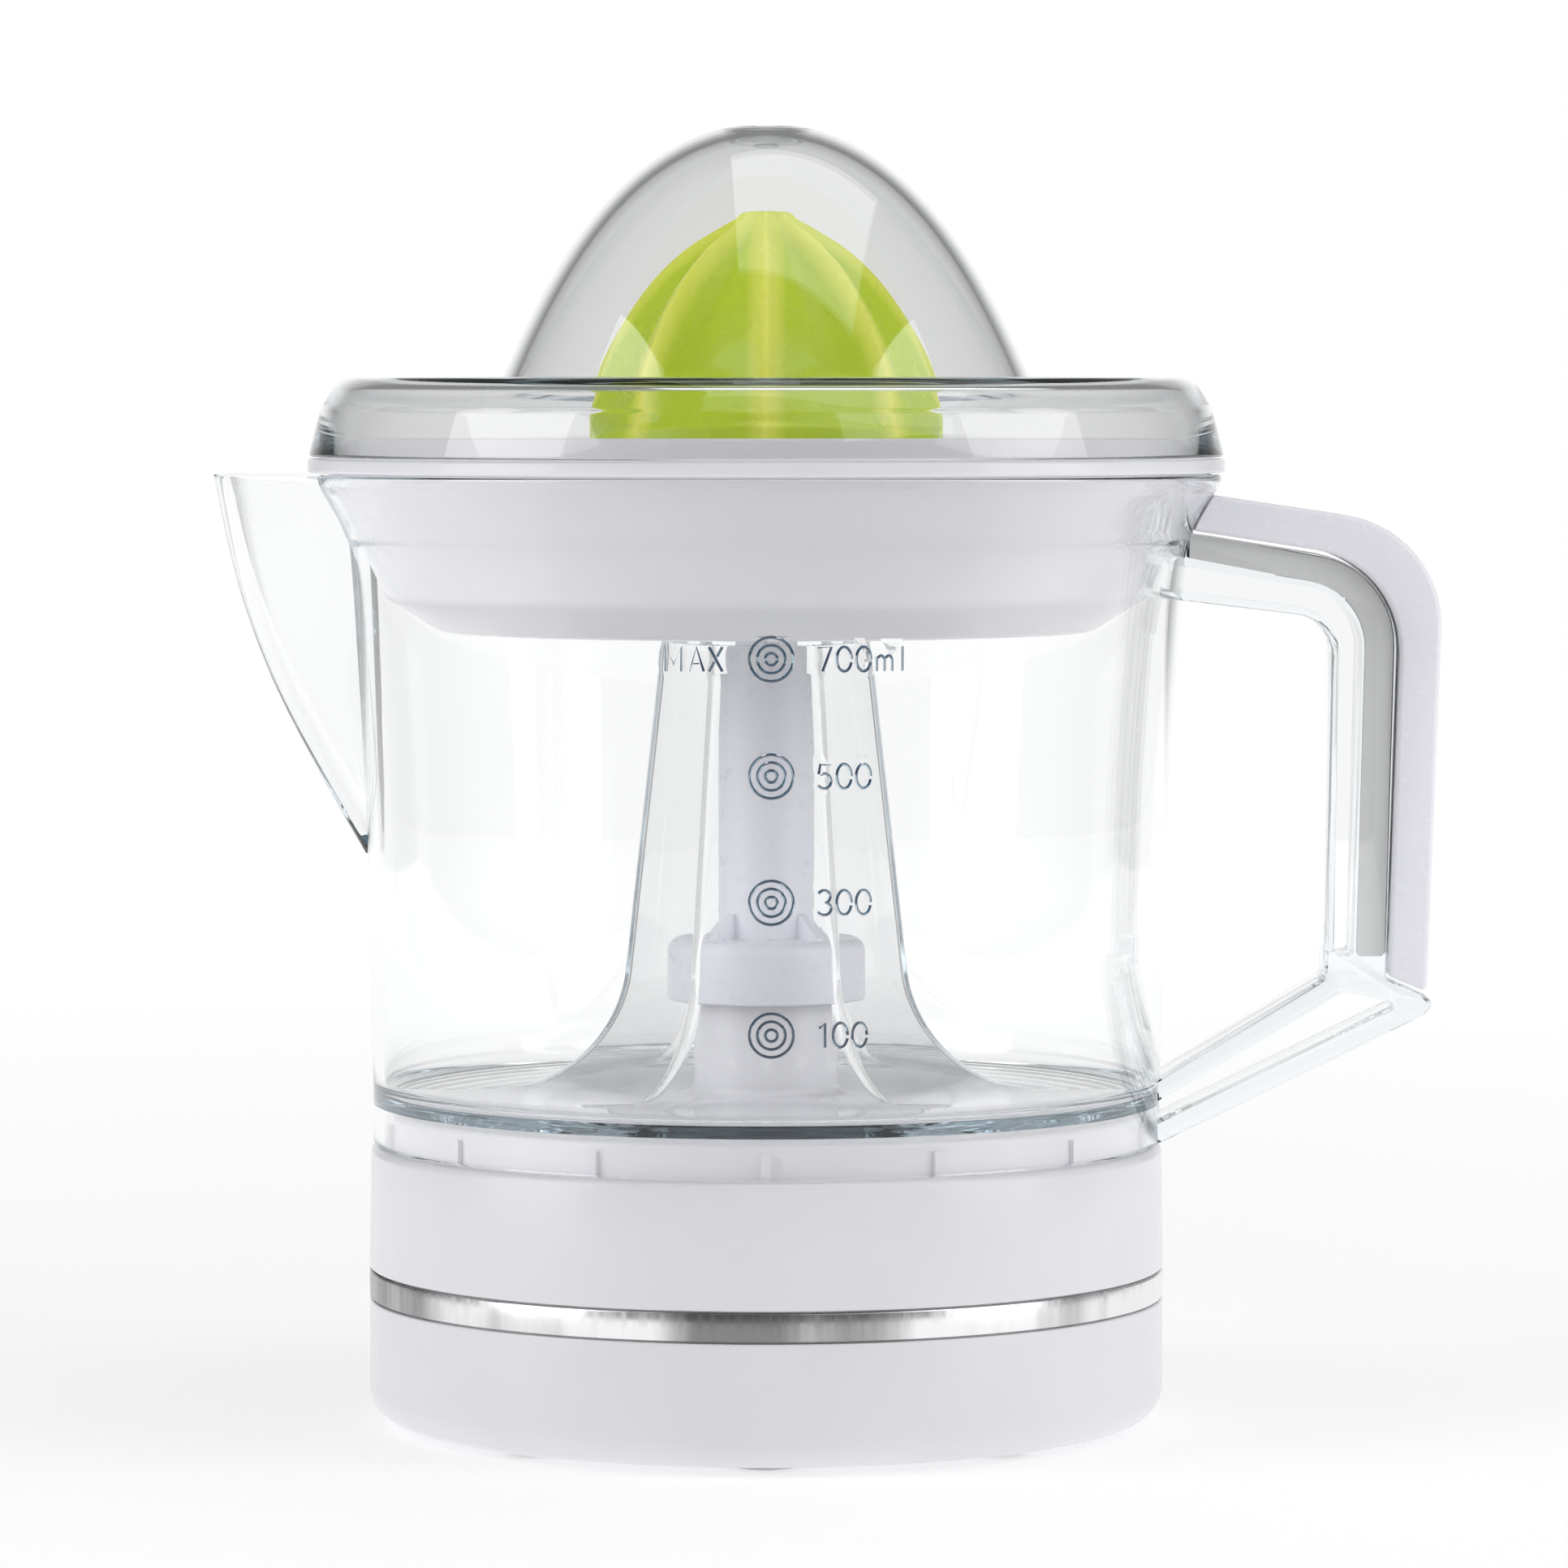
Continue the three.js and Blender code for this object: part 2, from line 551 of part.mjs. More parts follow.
function switchBody() {
  const body = box(3, 24, -3.2, 3.2, TRAY_FLOOR + GAP, 17);
  const button = rod(1.1, 16.5, 18.3, 8, 0, SMALL_ROUND);
  const ears = [-1, 1].map((side) => {
    const inner = side * 2.5;
    const outer = side * 3.2;
    return box(19.4, 22.6, Math.min(inner, outer), Math.max(inner, outer), 16.5, 21.2);
  });
  return join(body, button, ...ears);
}

// Drawn about its pivot; the strip runs back under the spindle's nose.
function switchLever() {
  const knuckle = rodAlongY(1.1, -2.1, 2.1, 0, 0, SMALL_ROUND);
  const strip = box(-25, 0, -2.1, 2.1, 0.4, 1);
  return join(knuckle, strip);
}

// ---------------------------------------------------------------- jug

// Distance from the axis to a corner of the six-sided chimney, or to its inner face if a wall is given.
function chimneyRadius(height, wall) {
  const tapered = 22.4 - 0.11 * (height - 74);
  const belowFillet = JUG_FLOOR + CHIMNEY_FILLET - height;
  if (belowFillet <= 0) return tapered - wall;
  const reach = (CHIMNEY_FILLET + wall) ** 2 - belowFillet ** 2;
  return tapered + CHIMNEY_FILLET - Math.sqrt(Math.max(0, reach));
}

// Six flats whose corners are cut off by a small facet.
function chimneyRing(height, wall) {
  const corner = chimneyRadius(height, wall);
  return Array.from({ length: 12 }, (_, i) => {
    const side = i % 2 === 0 ? -1 : 1;
    const angle = THREE.MathUtils.degToRad(60 * Math.floor(i / 2) + 7 * side);
    const radius = corner * 0.965;
    return [radius * Math.cos(angle), radius * Math.sin(angle), height];
  });
}

function spoutRing(height, wall, backX) {
  const share = (height - SPOUT_OUTLINE[0][1]) / (JUG_RIM - SPOUT_OUTLINE[0][1]);
  const halfWidth = 3 + (SPOUT_HALF_WIDTH - 3) * Math.min(1, share) - wall;
  const tip = sizeAt(SPOUT_OUTLINE, height) - wall;
  const jugRadius = sizeAt(JUG_OUTLINE, height);
  const root = Math.sqrt(jugRadius ** 2 - halfWidth ** 2) - 1;
  const nose = evenly(9, 90, 270).map((degrees) => {
    const angle = THREE.MathUtils.degToRad(degrees);
    return [-root + (tip - root) * Math.cos(angle), halfWidth * Math.sin(angle), height];
  });
  const back = backX === undefined ? -root + 0.4 : backX;
  return [...nose, [back, -halfWidth, height], [back, halfWidth, height]];
}

function jugBody() {
  const innerWall = JUG_OUTLINE.slice(2).reverse().map(([radius, height]) => [radius - JUG_WALL, height]);
  const cup = revolve([
    [0, JUG_FLOOR_UNDERSIDE], [62.3 - JUG_WALL, JUG_FLOOR_UNDERSIDE],
    [62.3 - JUG_WALL, JUG_SKIRT_BOTTOM], ...JUG_OUTLINE, ...innerWall,
    [62.5 - JUG_WALL, 57], [58, JUG_FLOOR], [0, JUG_FLOOR],
  ]);
  const outerHeights = [52.3, JUG_FLOOR, 55, 58, 62, 67, JUG_FLOOR + CHIMNEY_FILLET, 105, CHIMNEY_TOP];
  const innerHeights = [51.2, 51.7, 53.2, 56, 60, 66, JUG_FLOOR + CHIMNEY_FILLET, 105, 124];
  const chimney = loft(outerHeights.map((height) => chimneyRing(height, 0)));
  const chimneyHollow = loft(innerHeights.map((height) => chimneyRing(height, CHIMNEY_WALL)));
  const bushBore = rod(CHIMNEY_BORE, 123, 137.5);
  const topHole = rod(9, 130, 150);
  const spoutHeights = SPOUT_OUTLINE.map(([, height]) => height);
  const spout = loft(spoutHeights.map((height) => spoutRing(height, 0)));
  const hollowHeights = [94, 103.7, 116.6, 128.1, 138.4, JUG_RIM + 2];
  const spoutHollow = loft(hollowHeights.map((height) => spoutRing(height, SPOUT_WALL, -52)));
  return cut(join(cup, chimney, spout), chimneyHollow, spoutHollow, bushBore, topHole);
}

// ---------------------------------------------------------------- handle

function jugKeepOut() {
  return revolve([
    [0, 40], [62.3 + GAP, 40], ...JUG_OUTLINE.slice(1).map(([radius, height]) => [radius + GAP, height]),
    [72.0 + GAP, 160], [0, 160],
  ]);
}

function handleFrame() {
  const outline = [
    [60, 142.6], [86.0, 138.4], [93.8, 134.2], [97.8, 128.6], [99.0, 122.5], [97.5, 71.4],
    [104.0, 68.7], [104.8, 67.4], [104.2, 66.0], [55, 42], [55, 51.2], [88.2, 71.4], [88.6, 74],
    [89.1, 122], [87.5, 126.4], [83, 128.8], [60, 131.6],
  ];
  const upperPocket = [
    [60, 139.2], [84.6, 135.2], [91.2, 131.6], [94.7, 127], [95.6, 122], [94.2, 75],
    [91.4, 75], [92.2, 122.6], [90.2, 128], [84.4, 131.6], [60, 134.6],
  ];
  const lowerPocket = [[55, 45.2], [99.5, 67.0], [96, 68.6], [91, 69.4], [55, 48.2]];
  const blank = sideSlab(outline, HANDLE_HALF_WIDTH);
  const pockets = [upperPocket, lowerPocket].map((pocket) => sideSlab(pocket, HANDLE_HALF_WIDTH + 1));
  const web = sideSlab(outline, HANDLE_WEB);
  return cut(join(cut(blank, ...pockets), web), jugKeepOut());
}

function handleCover() {
  const outline = [
    [60, 148.9], [71.3, 147.4], [89.3, 144.6], [96.5, 141.6], [101.1, 138.4], [104.2, 134.2],
    [105.6, 129.5], [106.0, 124.3], [104.0, 69.4], [97.9, 71.9], [99.3, 122.5], [98.1, 128.8],
    [94.0, 134.5], [86.1, 138.75], [60, 143],
  ];
  const wall = sideSlab(outline, COVER_HALF_WIDTH);
  return cut(wall, jugKeepOut());
}

// ---------------------------------------------------------------- strainer, drive and reamer

function strainer() {
  const bowl = revolve([
    [17.2, STRAINER_UNDERSIDE], [50, STRAINER_UNDERSIDE], [55.5, 127.4], [60, 131.3], [62.6, 136],
    [65.2, 142], [69.0, 149.3], [69.2, JUG_RIM + GAP], [72.3, JUG_RIM + GAP], [72.3, 153.2],
    [68, 153.2], [68, 156.7], [66.2, 156.7], [66.2, 149], [63.2, 142], [60.8, 137], [58.4, 132.6],
    [54.6, 129.2], [50, STRAINER_FLOOR], [19.2, STRAINER_FLOOR], [17.4, HUB_TOP], [8.2, HUB_TOP],
    [8.2, CHIMNEY_TOP + GAP], [15.6, CHIMNEY_TOP + GAP],
  ]);
  const slots = aroundCircle(STRAINER_SLOTS, 40).map(([x, y, angle]) => {
    const slot = box(-8, 8, -0.9, 0.9, STRAINER_UNDERSIDE - 1, STRAINER_FLOOR + 1);
    return slot.rotateZ(angle).translate(x, y, 0);
  });
  return cut(bowl, ...slots);
}

function shaftBush() {
  const ring = rod(CHIMNEY_BORE - GAP, 126, 137.2);
  const bore = flatten(rod(SHAFT_RADIUS + GAP, 120, 145), SHAFT_FLAT + GAP, 120, 145);
  return cut(ring, bore);
}

function driveShaft() {
  const shaft = revolve([
    [0, SHAFT_COLLAR_BOTTOM], [SHAFT_COLLAR_RADIUS, SHAFT_COLLAR_BOTTOM],
    [SHAFT_COLLAR_RADIUS, SHAFT_COLLAR_TOP - 2.2], [SHAFT_COLLAR_RADIUS - 0.8, SHAFT_COLLAR_TOP - 0.7],
    [SHAFT_COLLAR_RADIUS - 2.4, SHAFT_COLLAR_TOP], [SHAFT_RADIUS, SHAFT_COLLAR_TOP],
    [SHAFT_RADIUS, SHAFT_TOP - 2], [SHAFT_RADIUS - 1.5, SHAFT_TOP], [0, SHAFT_TOP],
  ], MEDIUM_ROUND);
  const gussets = aroundCircle(4, 0, 45).map(([, , angle]) => {
    const web = sideSlab([[5, 77], [12, 77], [12, 77.8], [8, 81.5], [5, 81.5]], 0.7);
    return web.rotateZ(angle);
  });
  const socket = flatten(
    rod(SPINDLE_RADIUS + GAP, 60, SPINDLE_TOP + GAP), SPINDLE_FLAT + GAP, 60, SPINDLE_TOP + GAP,
  );
  const flats = [box(SHAFT_FLAT, 20, -20, 20, 119, 180), box(-20, -SHAFT_FLAT, -20, 20, 119, 180)];
  return cut(join(shaft, ...gussets), socket, ...flats);
}

// The cone's outline at a rib's crest, as [radius, height].
const REAMER_OUTLINE = [
  [29.4, REAMER_BOTTOM], [28.3, 158.4], [27.7, 159.0], [27.4, 162], [25.1, 168.9], [22.0, 175],
  [17.7, 181.2], [12.8, 185.8], [8.1, 188.8], [4.5, 190.9], [2.0, REAMER_TOP],
];

// Ribs fade out towards the rim and the tip; between two crests the surface dips in a round flute.
function reamerRing([radius, height]) {
  const fade = height < 158.9 ? 0 : Math.min(1, (height - 158) / 6, radius / 12);
  const pointsPerRib = 6;
  return Array.from({ length: REAMER_RIBS * pointsPerRib }, (_, i) => {
    const angle = (2 * Math.PI * i) / (REAMER_RIBS * pointsPerRib);
    const acrossFlute = (i % pointsPerRib) / pointsPerRib;
    const dip = REAMER_RIB_HEIGHT * fade * Math.sqrt(Math.sin(Math.PI * acrossFlute));
    return [(radius - dip) * Math.cos(angle), (radius - dip) * Math.sin(angle), height];
  });
}

function reamer() {
  const cone = loft(REAMER_OUTLINE.map(reamerRing));
  const hollow = revolve([
    [0, REAMER_BOTTOM - 1], [27.2, REAMER_BOTTOM - 1], [26, 156], [22, 164], [15.5, 172], [10.6, 175.5],
    [0, 175.5],
  ], MEDIUM_ROUND);
  const tube = rod(10.6, HUB_TOP + 3.2, 177);
  const socket = flatten(
    rod(SHAFT_RADIUS + GAP, HUB_TOP, SHAFT_TOP + GAP), SHAFT_FLAT + GAP, HUB_TOP, SHAFT_TOP + GAP,
  );
  return cut(join(cut(cone, hollow), tube), socket);
}

// ---------------------------------------------------------------- lid

function domeHeight(radius) {
  return LID_TOP - 0.01765 * radius ** 2 - 3.24e-6 * radius ** 4;
}

// A point on the dome's inner face, one wall thickness in from the outer face at this radius.
function domeInside(radius) {
  const slope = 2 * 0.01765 * radius + 4 * 3.24e-6 * radius ** 3;
  const length = Math.hypot(slope, 1);
  return [radius - (LID_WALL * slope) / length, domeHeight(radius) - LID_WALL / length];
}

function lid() {
  const domeRadii = [8, 16, 24, 33, LID_DOME_RADIUS];
  const outside = domeRadii.map((radius) => [radius, domeHeight(radius)]).reverse();
  const inside = [9, 16, 24, 33, 40].map(domeInside);
  return revolve([
    [72.2 - LID_WALL, LID_BOTTOM], [72.2, LID_BOTTOM], [70.2, 159.9], [68.1, 164], [65.2, LID_LEDGE],
    ...outside, [0, LID_TOP], [0, 201.9], [1.4, 202.1], [4.2, 203.4], ...inside,
    [42.5, LID_LEDGE - LID_WALL], [64.2, LID_LEDGE - LID_WALL], [66.6, 162.6], [68.2, 159.6],
  ]);
}

// ---------------------------------------------------------------- assembly

// One copy of a piece at each place, numbered from 1.
function copies(name, places, geometry, look) {
  return places.map(([x, y], i) => placed(piece(`${name}_${i + 1}`, geometry, look), x, y));
}

function baseShell() {
  return group(
    "base_shell",
    piece("base_housing", baseHousing(), WHITE),
    piece("base_tray", baseTray(), WHITE),
    piece("trim_band", trimBand(), BRUSHED_STEEL),
    piece("tower_bush", towerBush(), BRONZE),
    placed(piece("cord_gland", cordGland(), BLACK_PLASTIC), 0, BASE_RADIUS, GLAND_HEIGHT),
    ...copies("foot", footPlaces, foot(), RUBBER),
    ...copies("tray_screw", screwPlaces, screw(2.3, 4.5, 16, 3.2), STEEL),
  );
}

function motor() {
  const spinning = piece("rotor", rotor(), FERRITE);
  spinning.rotation.z = MOTOR_ANGLE + Math.PI;
  return group(
    "motor",
    piece("motor_core", motorCore(), LAMINATION),
    placed(piece("motor_coil_1", motorCoil(), COPPER), 0, -LEG_OFFSET),
    placed(piece("motor_coil_2", motorCoil(), COPPER), 0, LEG_OFFSET),
    piece("motor_bracket_lower", motorBracket(6.9, 8.7, 4.6, 8.7), STEEL),
    piece("motor_bracket_upper", motorBracket(23.3, 25, 23.3, 27), STEEL),
    spinning,
  );
}

function gearbox() {
  const idler = group(
    "idler",
    piece("idler_axle", idlerAxle(), STEEL),
    piece("intermediate_gear", intermediateGear(), NYLON),
  );
  return group(
    "gearbox",
    piece("gear_plate", gearPlate(), STEEL),
    ...copies("plate_screw", PLATE_POSTS, screw(25.2, 27.2, 37, 3), STEEL),
    placed(idler, IDLER_X, IDLER_Y),
    piece("output_gear", outputGear(), NYLON),
    piece("output_spindle", outputSpindle(), STEEL),
    piece("return_spring", returnSpring(), STEEL),
  );
}

function pressSwitch() {
  const lever = piece("switch_lever", switchLever(), STEEL);
  return group(
    "press_switch",
    piece("switch_body", switchBody(), BLACK_PLASTIC),
    placed(lever, LEVER_PIVOT_X, 0, LEVER_PIVOT_Z),
  );
}

function jug() {
  return group(
    "jug",
    piece("jug_body", jugBody(), CLEAR),
    piece("jug_handle", handleFrame(), CLEAR),
    piece("handle_cover", handleCover(), WHITE),
    piece("shaft_bush", shaftBush(), ACETAL),
    piece("drive_shaft", driveShaft(), LAVENDER),
  );
}

function squeezingTop() {
  return group(
    "squeezing_top",
    piece("strainer", strainer(), WHITE),
    piece("reamer", reamer(), GREEN),
    piece("lid", lid(), CLEAR),
  );
}

const aboutReamer = group(
  "about_reamer",
  baseShell(),
  placed(motor(), MOTOR_X, MOTOR_Y),
  gearbox(),
  pressSwitch(),
  jug(),
  squeezingTop(),
);
const juicer = group("citrus_press", placed(aboutReamer, REAMER_AXIS_X, 0));

export default juicer;
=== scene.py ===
# The looks of an electric citrus press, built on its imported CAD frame.
# Outlines are in millimetres about the reamer's axis, with +Z up; the handle points along +X and
# the spout along -X. An outline corner is (across, up) or (across, up, rounding radius).
import json
import math

import bmesh
import bpy
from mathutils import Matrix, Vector


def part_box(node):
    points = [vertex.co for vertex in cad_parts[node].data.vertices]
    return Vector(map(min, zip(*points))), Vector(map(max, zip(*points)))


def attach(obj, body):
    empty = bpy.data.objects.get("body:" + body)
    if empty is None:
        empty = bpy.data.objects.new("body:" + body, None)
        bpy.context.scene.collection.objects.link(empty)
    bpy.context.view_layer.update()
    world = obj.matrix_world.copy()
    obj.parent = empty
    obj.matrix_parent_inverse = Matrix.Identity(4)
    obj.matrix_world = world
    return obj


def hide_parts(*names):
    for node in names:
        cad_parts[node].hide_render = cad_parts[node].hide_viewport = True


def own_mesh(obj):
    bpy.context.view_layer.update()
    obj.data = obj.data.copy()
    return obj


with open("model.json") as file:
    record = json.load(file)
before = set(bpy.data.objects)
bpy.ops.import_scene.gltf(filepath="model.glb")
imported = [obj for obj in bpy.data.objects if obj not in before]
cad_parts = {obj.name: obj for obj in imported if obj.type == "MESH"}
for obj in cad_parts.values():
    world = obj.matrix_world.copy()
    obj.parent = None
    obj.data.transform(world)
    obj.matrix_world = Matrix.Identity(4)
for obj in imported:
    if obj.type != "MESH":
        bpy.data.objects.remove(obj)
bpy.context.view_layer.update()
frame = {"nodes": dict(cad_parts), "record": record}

MM = 0.001
band_low, band_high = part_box("trim_band")
AXIS_X = (band_low[0] + band_high[0]) / 2

FINE_ROUND = 192  # facets round the jug, the lid and the base
SMALL_ROUND = 48
SHARP_DEGREES = 32

# Base
BASE_RADIUS = 62.9
BASE_WALL = 2.2
BAND_BOTTOM = 20.9
BAND_TOP = 25.2
BAND_THICKNESS = 0.7
BAND_GAP = 0.3
SEAM = 22.6
SHOULDER = 45.0
NECK_RADIUS = 59.3
NECK_RIBS = 14
DECK = 50.5
DECK_UNDERSIDE = 48.3
TOWER_RADIUS = 11.5
TOWER_BORE = 7.3
TOWER_TOP = 68.0
TRAY_UNDERSIDE = 1.2
TRAY_FLOOR = 4.0
FOOT_CIRCLE = 47.0
FOOT_RADIUS = 6.0
FOOT_HEIGHT = 2.6
FOOT_CLEARANCE = 0.3
SCREW_CIRCLE = 51.0
SCREW_BOSS_RADIUS = 4.0
SCREW_HOLE_RADIUS = 1.8
SCREW_HEAD_HOLE_RADIUS = 3.6
PLATE_POSTS = [(37, 17), (-20, 37), (24, -36)]
PLATE_POST_RADIUS = 3.4
VENT_SLOTS = 5
GLAND_HEIGHT = 11.0
GLAND_RADIUS = 4.2

# Jug
JUG_WALL = 1.8
JUG_SKIRT = 45.3
JUG_FLOOR_UNDERSIDE = 51.4
JUG_FLOOR = 53.2
JUG_RIM = 150.7
JUG_RIM_RADIUS = 72.0
JUG_LOW_RADIUS = 62.3
JUG_SIDE = [
    (JUG_LOW_RADIUS, 55), (63.1, 90.8), (64.0, 110.2), (66.1, 135.8), (67.6, 142), (71.3, 148.6),
]
CHIMNEY_TOP = 140.0
CHIMNEY_WALL = 1.6
CHIMNEY_RADIUS = 22.4  # to a corner, at the height below
CHIMNEY_RADIUS_HEIGHT = 74.0
CHIMNEY_TAPER = 0.11
CHIMNEY_FILLET = 19.0
CHIMNEY_CORNER_ROUNDING = 1.8
BUSH_SEAT_RADIUS = 11.6
SPOUT_TIP = [
    (63.5, 90.8), (70.8, 103.7), (77.4, 116.6), (81.9, 128.1), (84.8, 138.4), (87.3, JUG_RIM),
]
SPOUT_HALF_WIDTH = 17.0
SPOUT_LOW_HALF_WIDTH = 3.0
SPOUT_WALL = 2.2

# Volume marks moulded on the jug's front
MARK_HEIGHTS = {"100": 67.2, "300": 87.2, "500": 106.2, "700ml": 123.8}
MARK_RING_RADII = (0.9, 2.1, 3.3)
MARK_RING_ACROSS = 0.9
MARK_NUMERAL_LEFT = 7.6
MARK_MAX_LEFT = -15.2
MARK_LETTER_HEIGHT = 4.0
MARK_STROKE = 0.3
MARK_STROKE_CORNERS = 8
MARK_SUNK = 0.2

# Handle
FRAME_HALF_WIDTH = 9.0
WEB_HALF_WIDTH = 1.6
COVER_HALF_WIDTH = 9.6
RAIL_HALF_WIDTH = 6.8

# Strainer
STRAINER_SLOTS = 36
SLOT_CIRCLE = 40.0
SLOT_HALF_LENGTH = 8.0
SLOT_HALF_WIDTH = 0.9
SLOT_ROUNDING = 0.85
HUB_TOP = 142.1

# Drive shaft and return spring
SHAFT_RADIUS = 7.6
SHAFT_FLAT = 6.4
SHAFT_TOP = 168.3
COLLAR_RADIUS = 15.0
COLLAR_BOTTOM = 67.5
COLLAR_TOP = 77.5
COLLAR_RECESS_RADIUS = 12.6
COLLAR_RECESS_TOP = 71.4
SPINDLE_SOCKET_RADIUS = 4.3
SPINDLE_SOCKET_HALF_WIDTH = 3.5
SPINDLE_SOCKET_TOP = 75.0
SPRING_BOTTOM = 44.8
SPRING_TOP = 51.7
SPRING_RADIUS = 5.7
SPRING_WIRE = 0.5
SPRING_TURNS = 4

# Reamer
REAMER_RIBS = 8
REAMER_FLUTE = 3.6
REAMER_SKIRT_FLUTE = 0.5
REAMER_SHOULDER = 161.5
SHAFT_SOCKET_RADIUS = 7.9
SHAFT_SOCKET_HALF_WIDTH = 6.7
SHAFT_SOCKET_TOP = SHAFT_TOP + 0.3
# The cone along a rib's crest, as (radius, height)
CREST_LINE = [
    (27.9, REAMER_SHOULDER), (26.0, 168), (22.2, 175), (17.7, 181.2), (12.8, 185.8),
    (8.1, 188.8), (4.9, 190.6),
]

# Lid
LID_TOP = 205.9
LID_LEDGE = 165.9
LID_BOTTOM = 153.5
LID_WALL = 2.0
LID_DOME_RADIUS = 41.5
DOME_ROUNDNESS = 0.01765  # the dome falls by this times the radius squared
DOME_STEEPNESS = 3.24e-6  # and by this times its fourth power

# Stage, in metres
CAMERA_LENS = 167.7
CAMERA_PLACE = (AXIS_X + 0.0028, -1.155, 0.164)
CAMERA_TILT_DEGREES = 86.91
FLOOR_HALF_SIZE = 1.5
LOOK_AT = (AXIS_X, 0, 0.11)
CLEAR_BOUNCES = 28  # light turns often inside the clear walls before it comes out

# ---------------------------------------------------------------- outlines


def rounded(corners, steps=6):
    """The corners as points, each corner that has a radius turned into an arc."""
    points = []
    for index, corner in enumerate(corners):
        here = Vector(corner[:2])
        radius = corner[2] if len(corner) > 2 else 0
        if not radius:
            points.append(here)
            continue
        before = Vector(corners[index - 1][:2])
        after = Vector(corners[(index + 1) % len(corners)][:2])
        back = (before - here).normalized()
        onward = (after - here).normalized()
        half_angle = back.angle(onward) / 2
        centre = here + (back + onward).normalized() * radius / math.sin(half_angle)
        start = here + back * radius / math.tan(half_angle) - centre
        end = here + onward * radius / math.tan(half_angle) - centre
        sweep = math.atan2(start.x * end.y - start.y * end.x, start.dot(end))
        first = math.atan2(start.y, start.x)
        for step in range(steps + 1):
            angle = first + sweep * step / steps
            points.append(centre + radius * Vector((math.cos(angle), math.sin(angle))))
    return [tuple(point) for point in points]


def curve_through(points, steps=8):
    """A smooth curve (Catmull-Rom) through the points."""
    padded = [points[0], *points, points[-1]]
    curve = []
    for index in range(len(points) - 1):
        p0, p1, p2, p3 = (Vector(point) for point in padded[index:index + 4])
        for step in range(steps):
            t = step / steps
            curve.append(0.5 * (
                2 * p1 + (p2 - p0) * t + (2 * p0 - 5 * p1 + 4 * p2 - p3) * t ** 2
                + (3 * p1 - p0 - 3 * p2 + p3) * t ** 3
            ))
    return [tuple(point) for point in curve] + [tuple(points[-1])]


def size_at(outline, height):
    """The size at a height, read off an outline of (size, height) points."""
    for (low_size, low), (high_size, high) in zip(outline, outline[1:]):
        if height <= high:
            break
    return low_size + (high_size - low_size) * (height - low) / (high - low)


def offset_outline(outline, distance):
    return [(size + distance, height) for size, height in outline]


def evenly(first, last, count):
    return [first + (last - first) * index / (count - 1) for index in range(count)]


def around_circle(count, radius, start_degrees=0):
    angles = [math.radians(start_degrees + 360 * index / count) for index in range(count)]
    return [(radius * math.cos(angle), radius * math.sin(angle), angle) for angle in angles]


# ---------------------------------------------------------------- solids


def make_object(name, points, faces):
    """A closed mesh object from points in millimetres about the reamer's axis."""
    mesh = bpy.data.meshes.new(name)
    mesh.from_pydata([(AXIS_X + x * MM, y * MM, z * MM) for x, y, z in points], [], faces)
    work = bmesh.new()
    work.from_mesh(mesh)
    bmesh.ops.recalc_face_normals(work, faces=work.faces)
    work.to_mesh(mesh)
    work.free()
    obj = bpy.data.objects.new(name, mesh)
    bpy.context.scene.collection.objects.link(obj)
    return obj


def wall_faces(rings, corners, closed):
    """The four-sided faces between neighbouring rings; a closed wall ends where it began."""
    faces = []
    for row in range(rings if closed else rings - 1):
        here = row * corners
        above = (row + 1) % rings * corners
        for i in range(corners):
            j = (i + 1) % corners
            faces.append((here + i, here + j, above + j, above + i))
    return faces


def revolve(name, outline, facets=FINE_ROUND):
    """Turns (radius, height) points about the axis; an outline off the axis makes a ring."""
    touches_axis = outline[0][0] < 1e-6 and outline[-1][0] < 1e-6
    rims = [point for point in outline if point[0] >= 1e-6]
    points = []
    for radius, height in rims:
        points += [(x, y, height) for x, y, _ in around_circle(facets, radius)]
    faces = wall_faces(len(rims), facets, closed=not touches_axis)
    if touches_axis:
        last = (len(rims) - 1) * facets
        for pole, rim in ((outline[0], 0), (outline[-1], last)):
            points.append((0, 0, pole[1]))
            faces += [(len(points) - 1, rim + (i + 1) % facets, rim + i) for i in range(facets)]
    return make_object(name, points, faces)


def loft(name, rings, closed=False):
    """Skins rings of equal point counts; open ends are closed with a fan each."""
    count = len(rings[0])
    points = [point for ring in rings for point in ring]
    faces = wall_faces(len(rings), count, closed)
    if not closed:
        for ring, start in ((rings[0], 0), (rings[-1], (len(rings) - 1) * count)):
            points.append(tuple(sum(axis) / count for axis in zip(*ring)))
            faces += [(len(points) - 1, start + (i + 1) % count, start + i) for i in range(count)]
    return make_object(name, points, faces)


def side_slab(name, outline, half_width):
    """An (x, z) outline given a thickness along Y."""
    count = len(outline)
    points = [(x, side * half_width, z) for side in (-1, 1) for x, z in outline]
    faces = [tuple(range(count)), tuple(range(count, 2 * count))]
    for i in range(count):
        j = (i + 1) % count
        faces.append((i, j, count + j, count + i))
    return make_object(name, points, faces)


def side_slab_between(outline, front, back):
    obj = side_slab("tool", outline, (back - front) / 2)
    shift_points(obj, Vector((0, (front + back) / 2, 0)))
    return obj


def block(x0, x1, y0, y1, z0, z1):
    return side_slab_between([(x0, z0), (x1, z0), (x1, z1), (x0, z1)], y0, y1)


def rod(radius, bottom, top, x=0, y=0, facets=SMALL_ROUND):
    obj = revolve("tool", [(0, bottom), (radius, bottom), (radius, top), (0, top)], facets)
    shift_points(obj, Vector((x, y, 0)))
    return obj


def rod_along_y(radius, front, back, x, z):
    outline = [(x + dx, z + dz) for dx, dz, _ in around_circle(SMALL_ROUND, radius)]
    return side_slab_between(outline, front, back)


def shift_points(obj, offset):
    """Moves the mesh by an offset in millimetres."""
    for vertex in obj.data.vertices:
        vertex.co += offset * MM


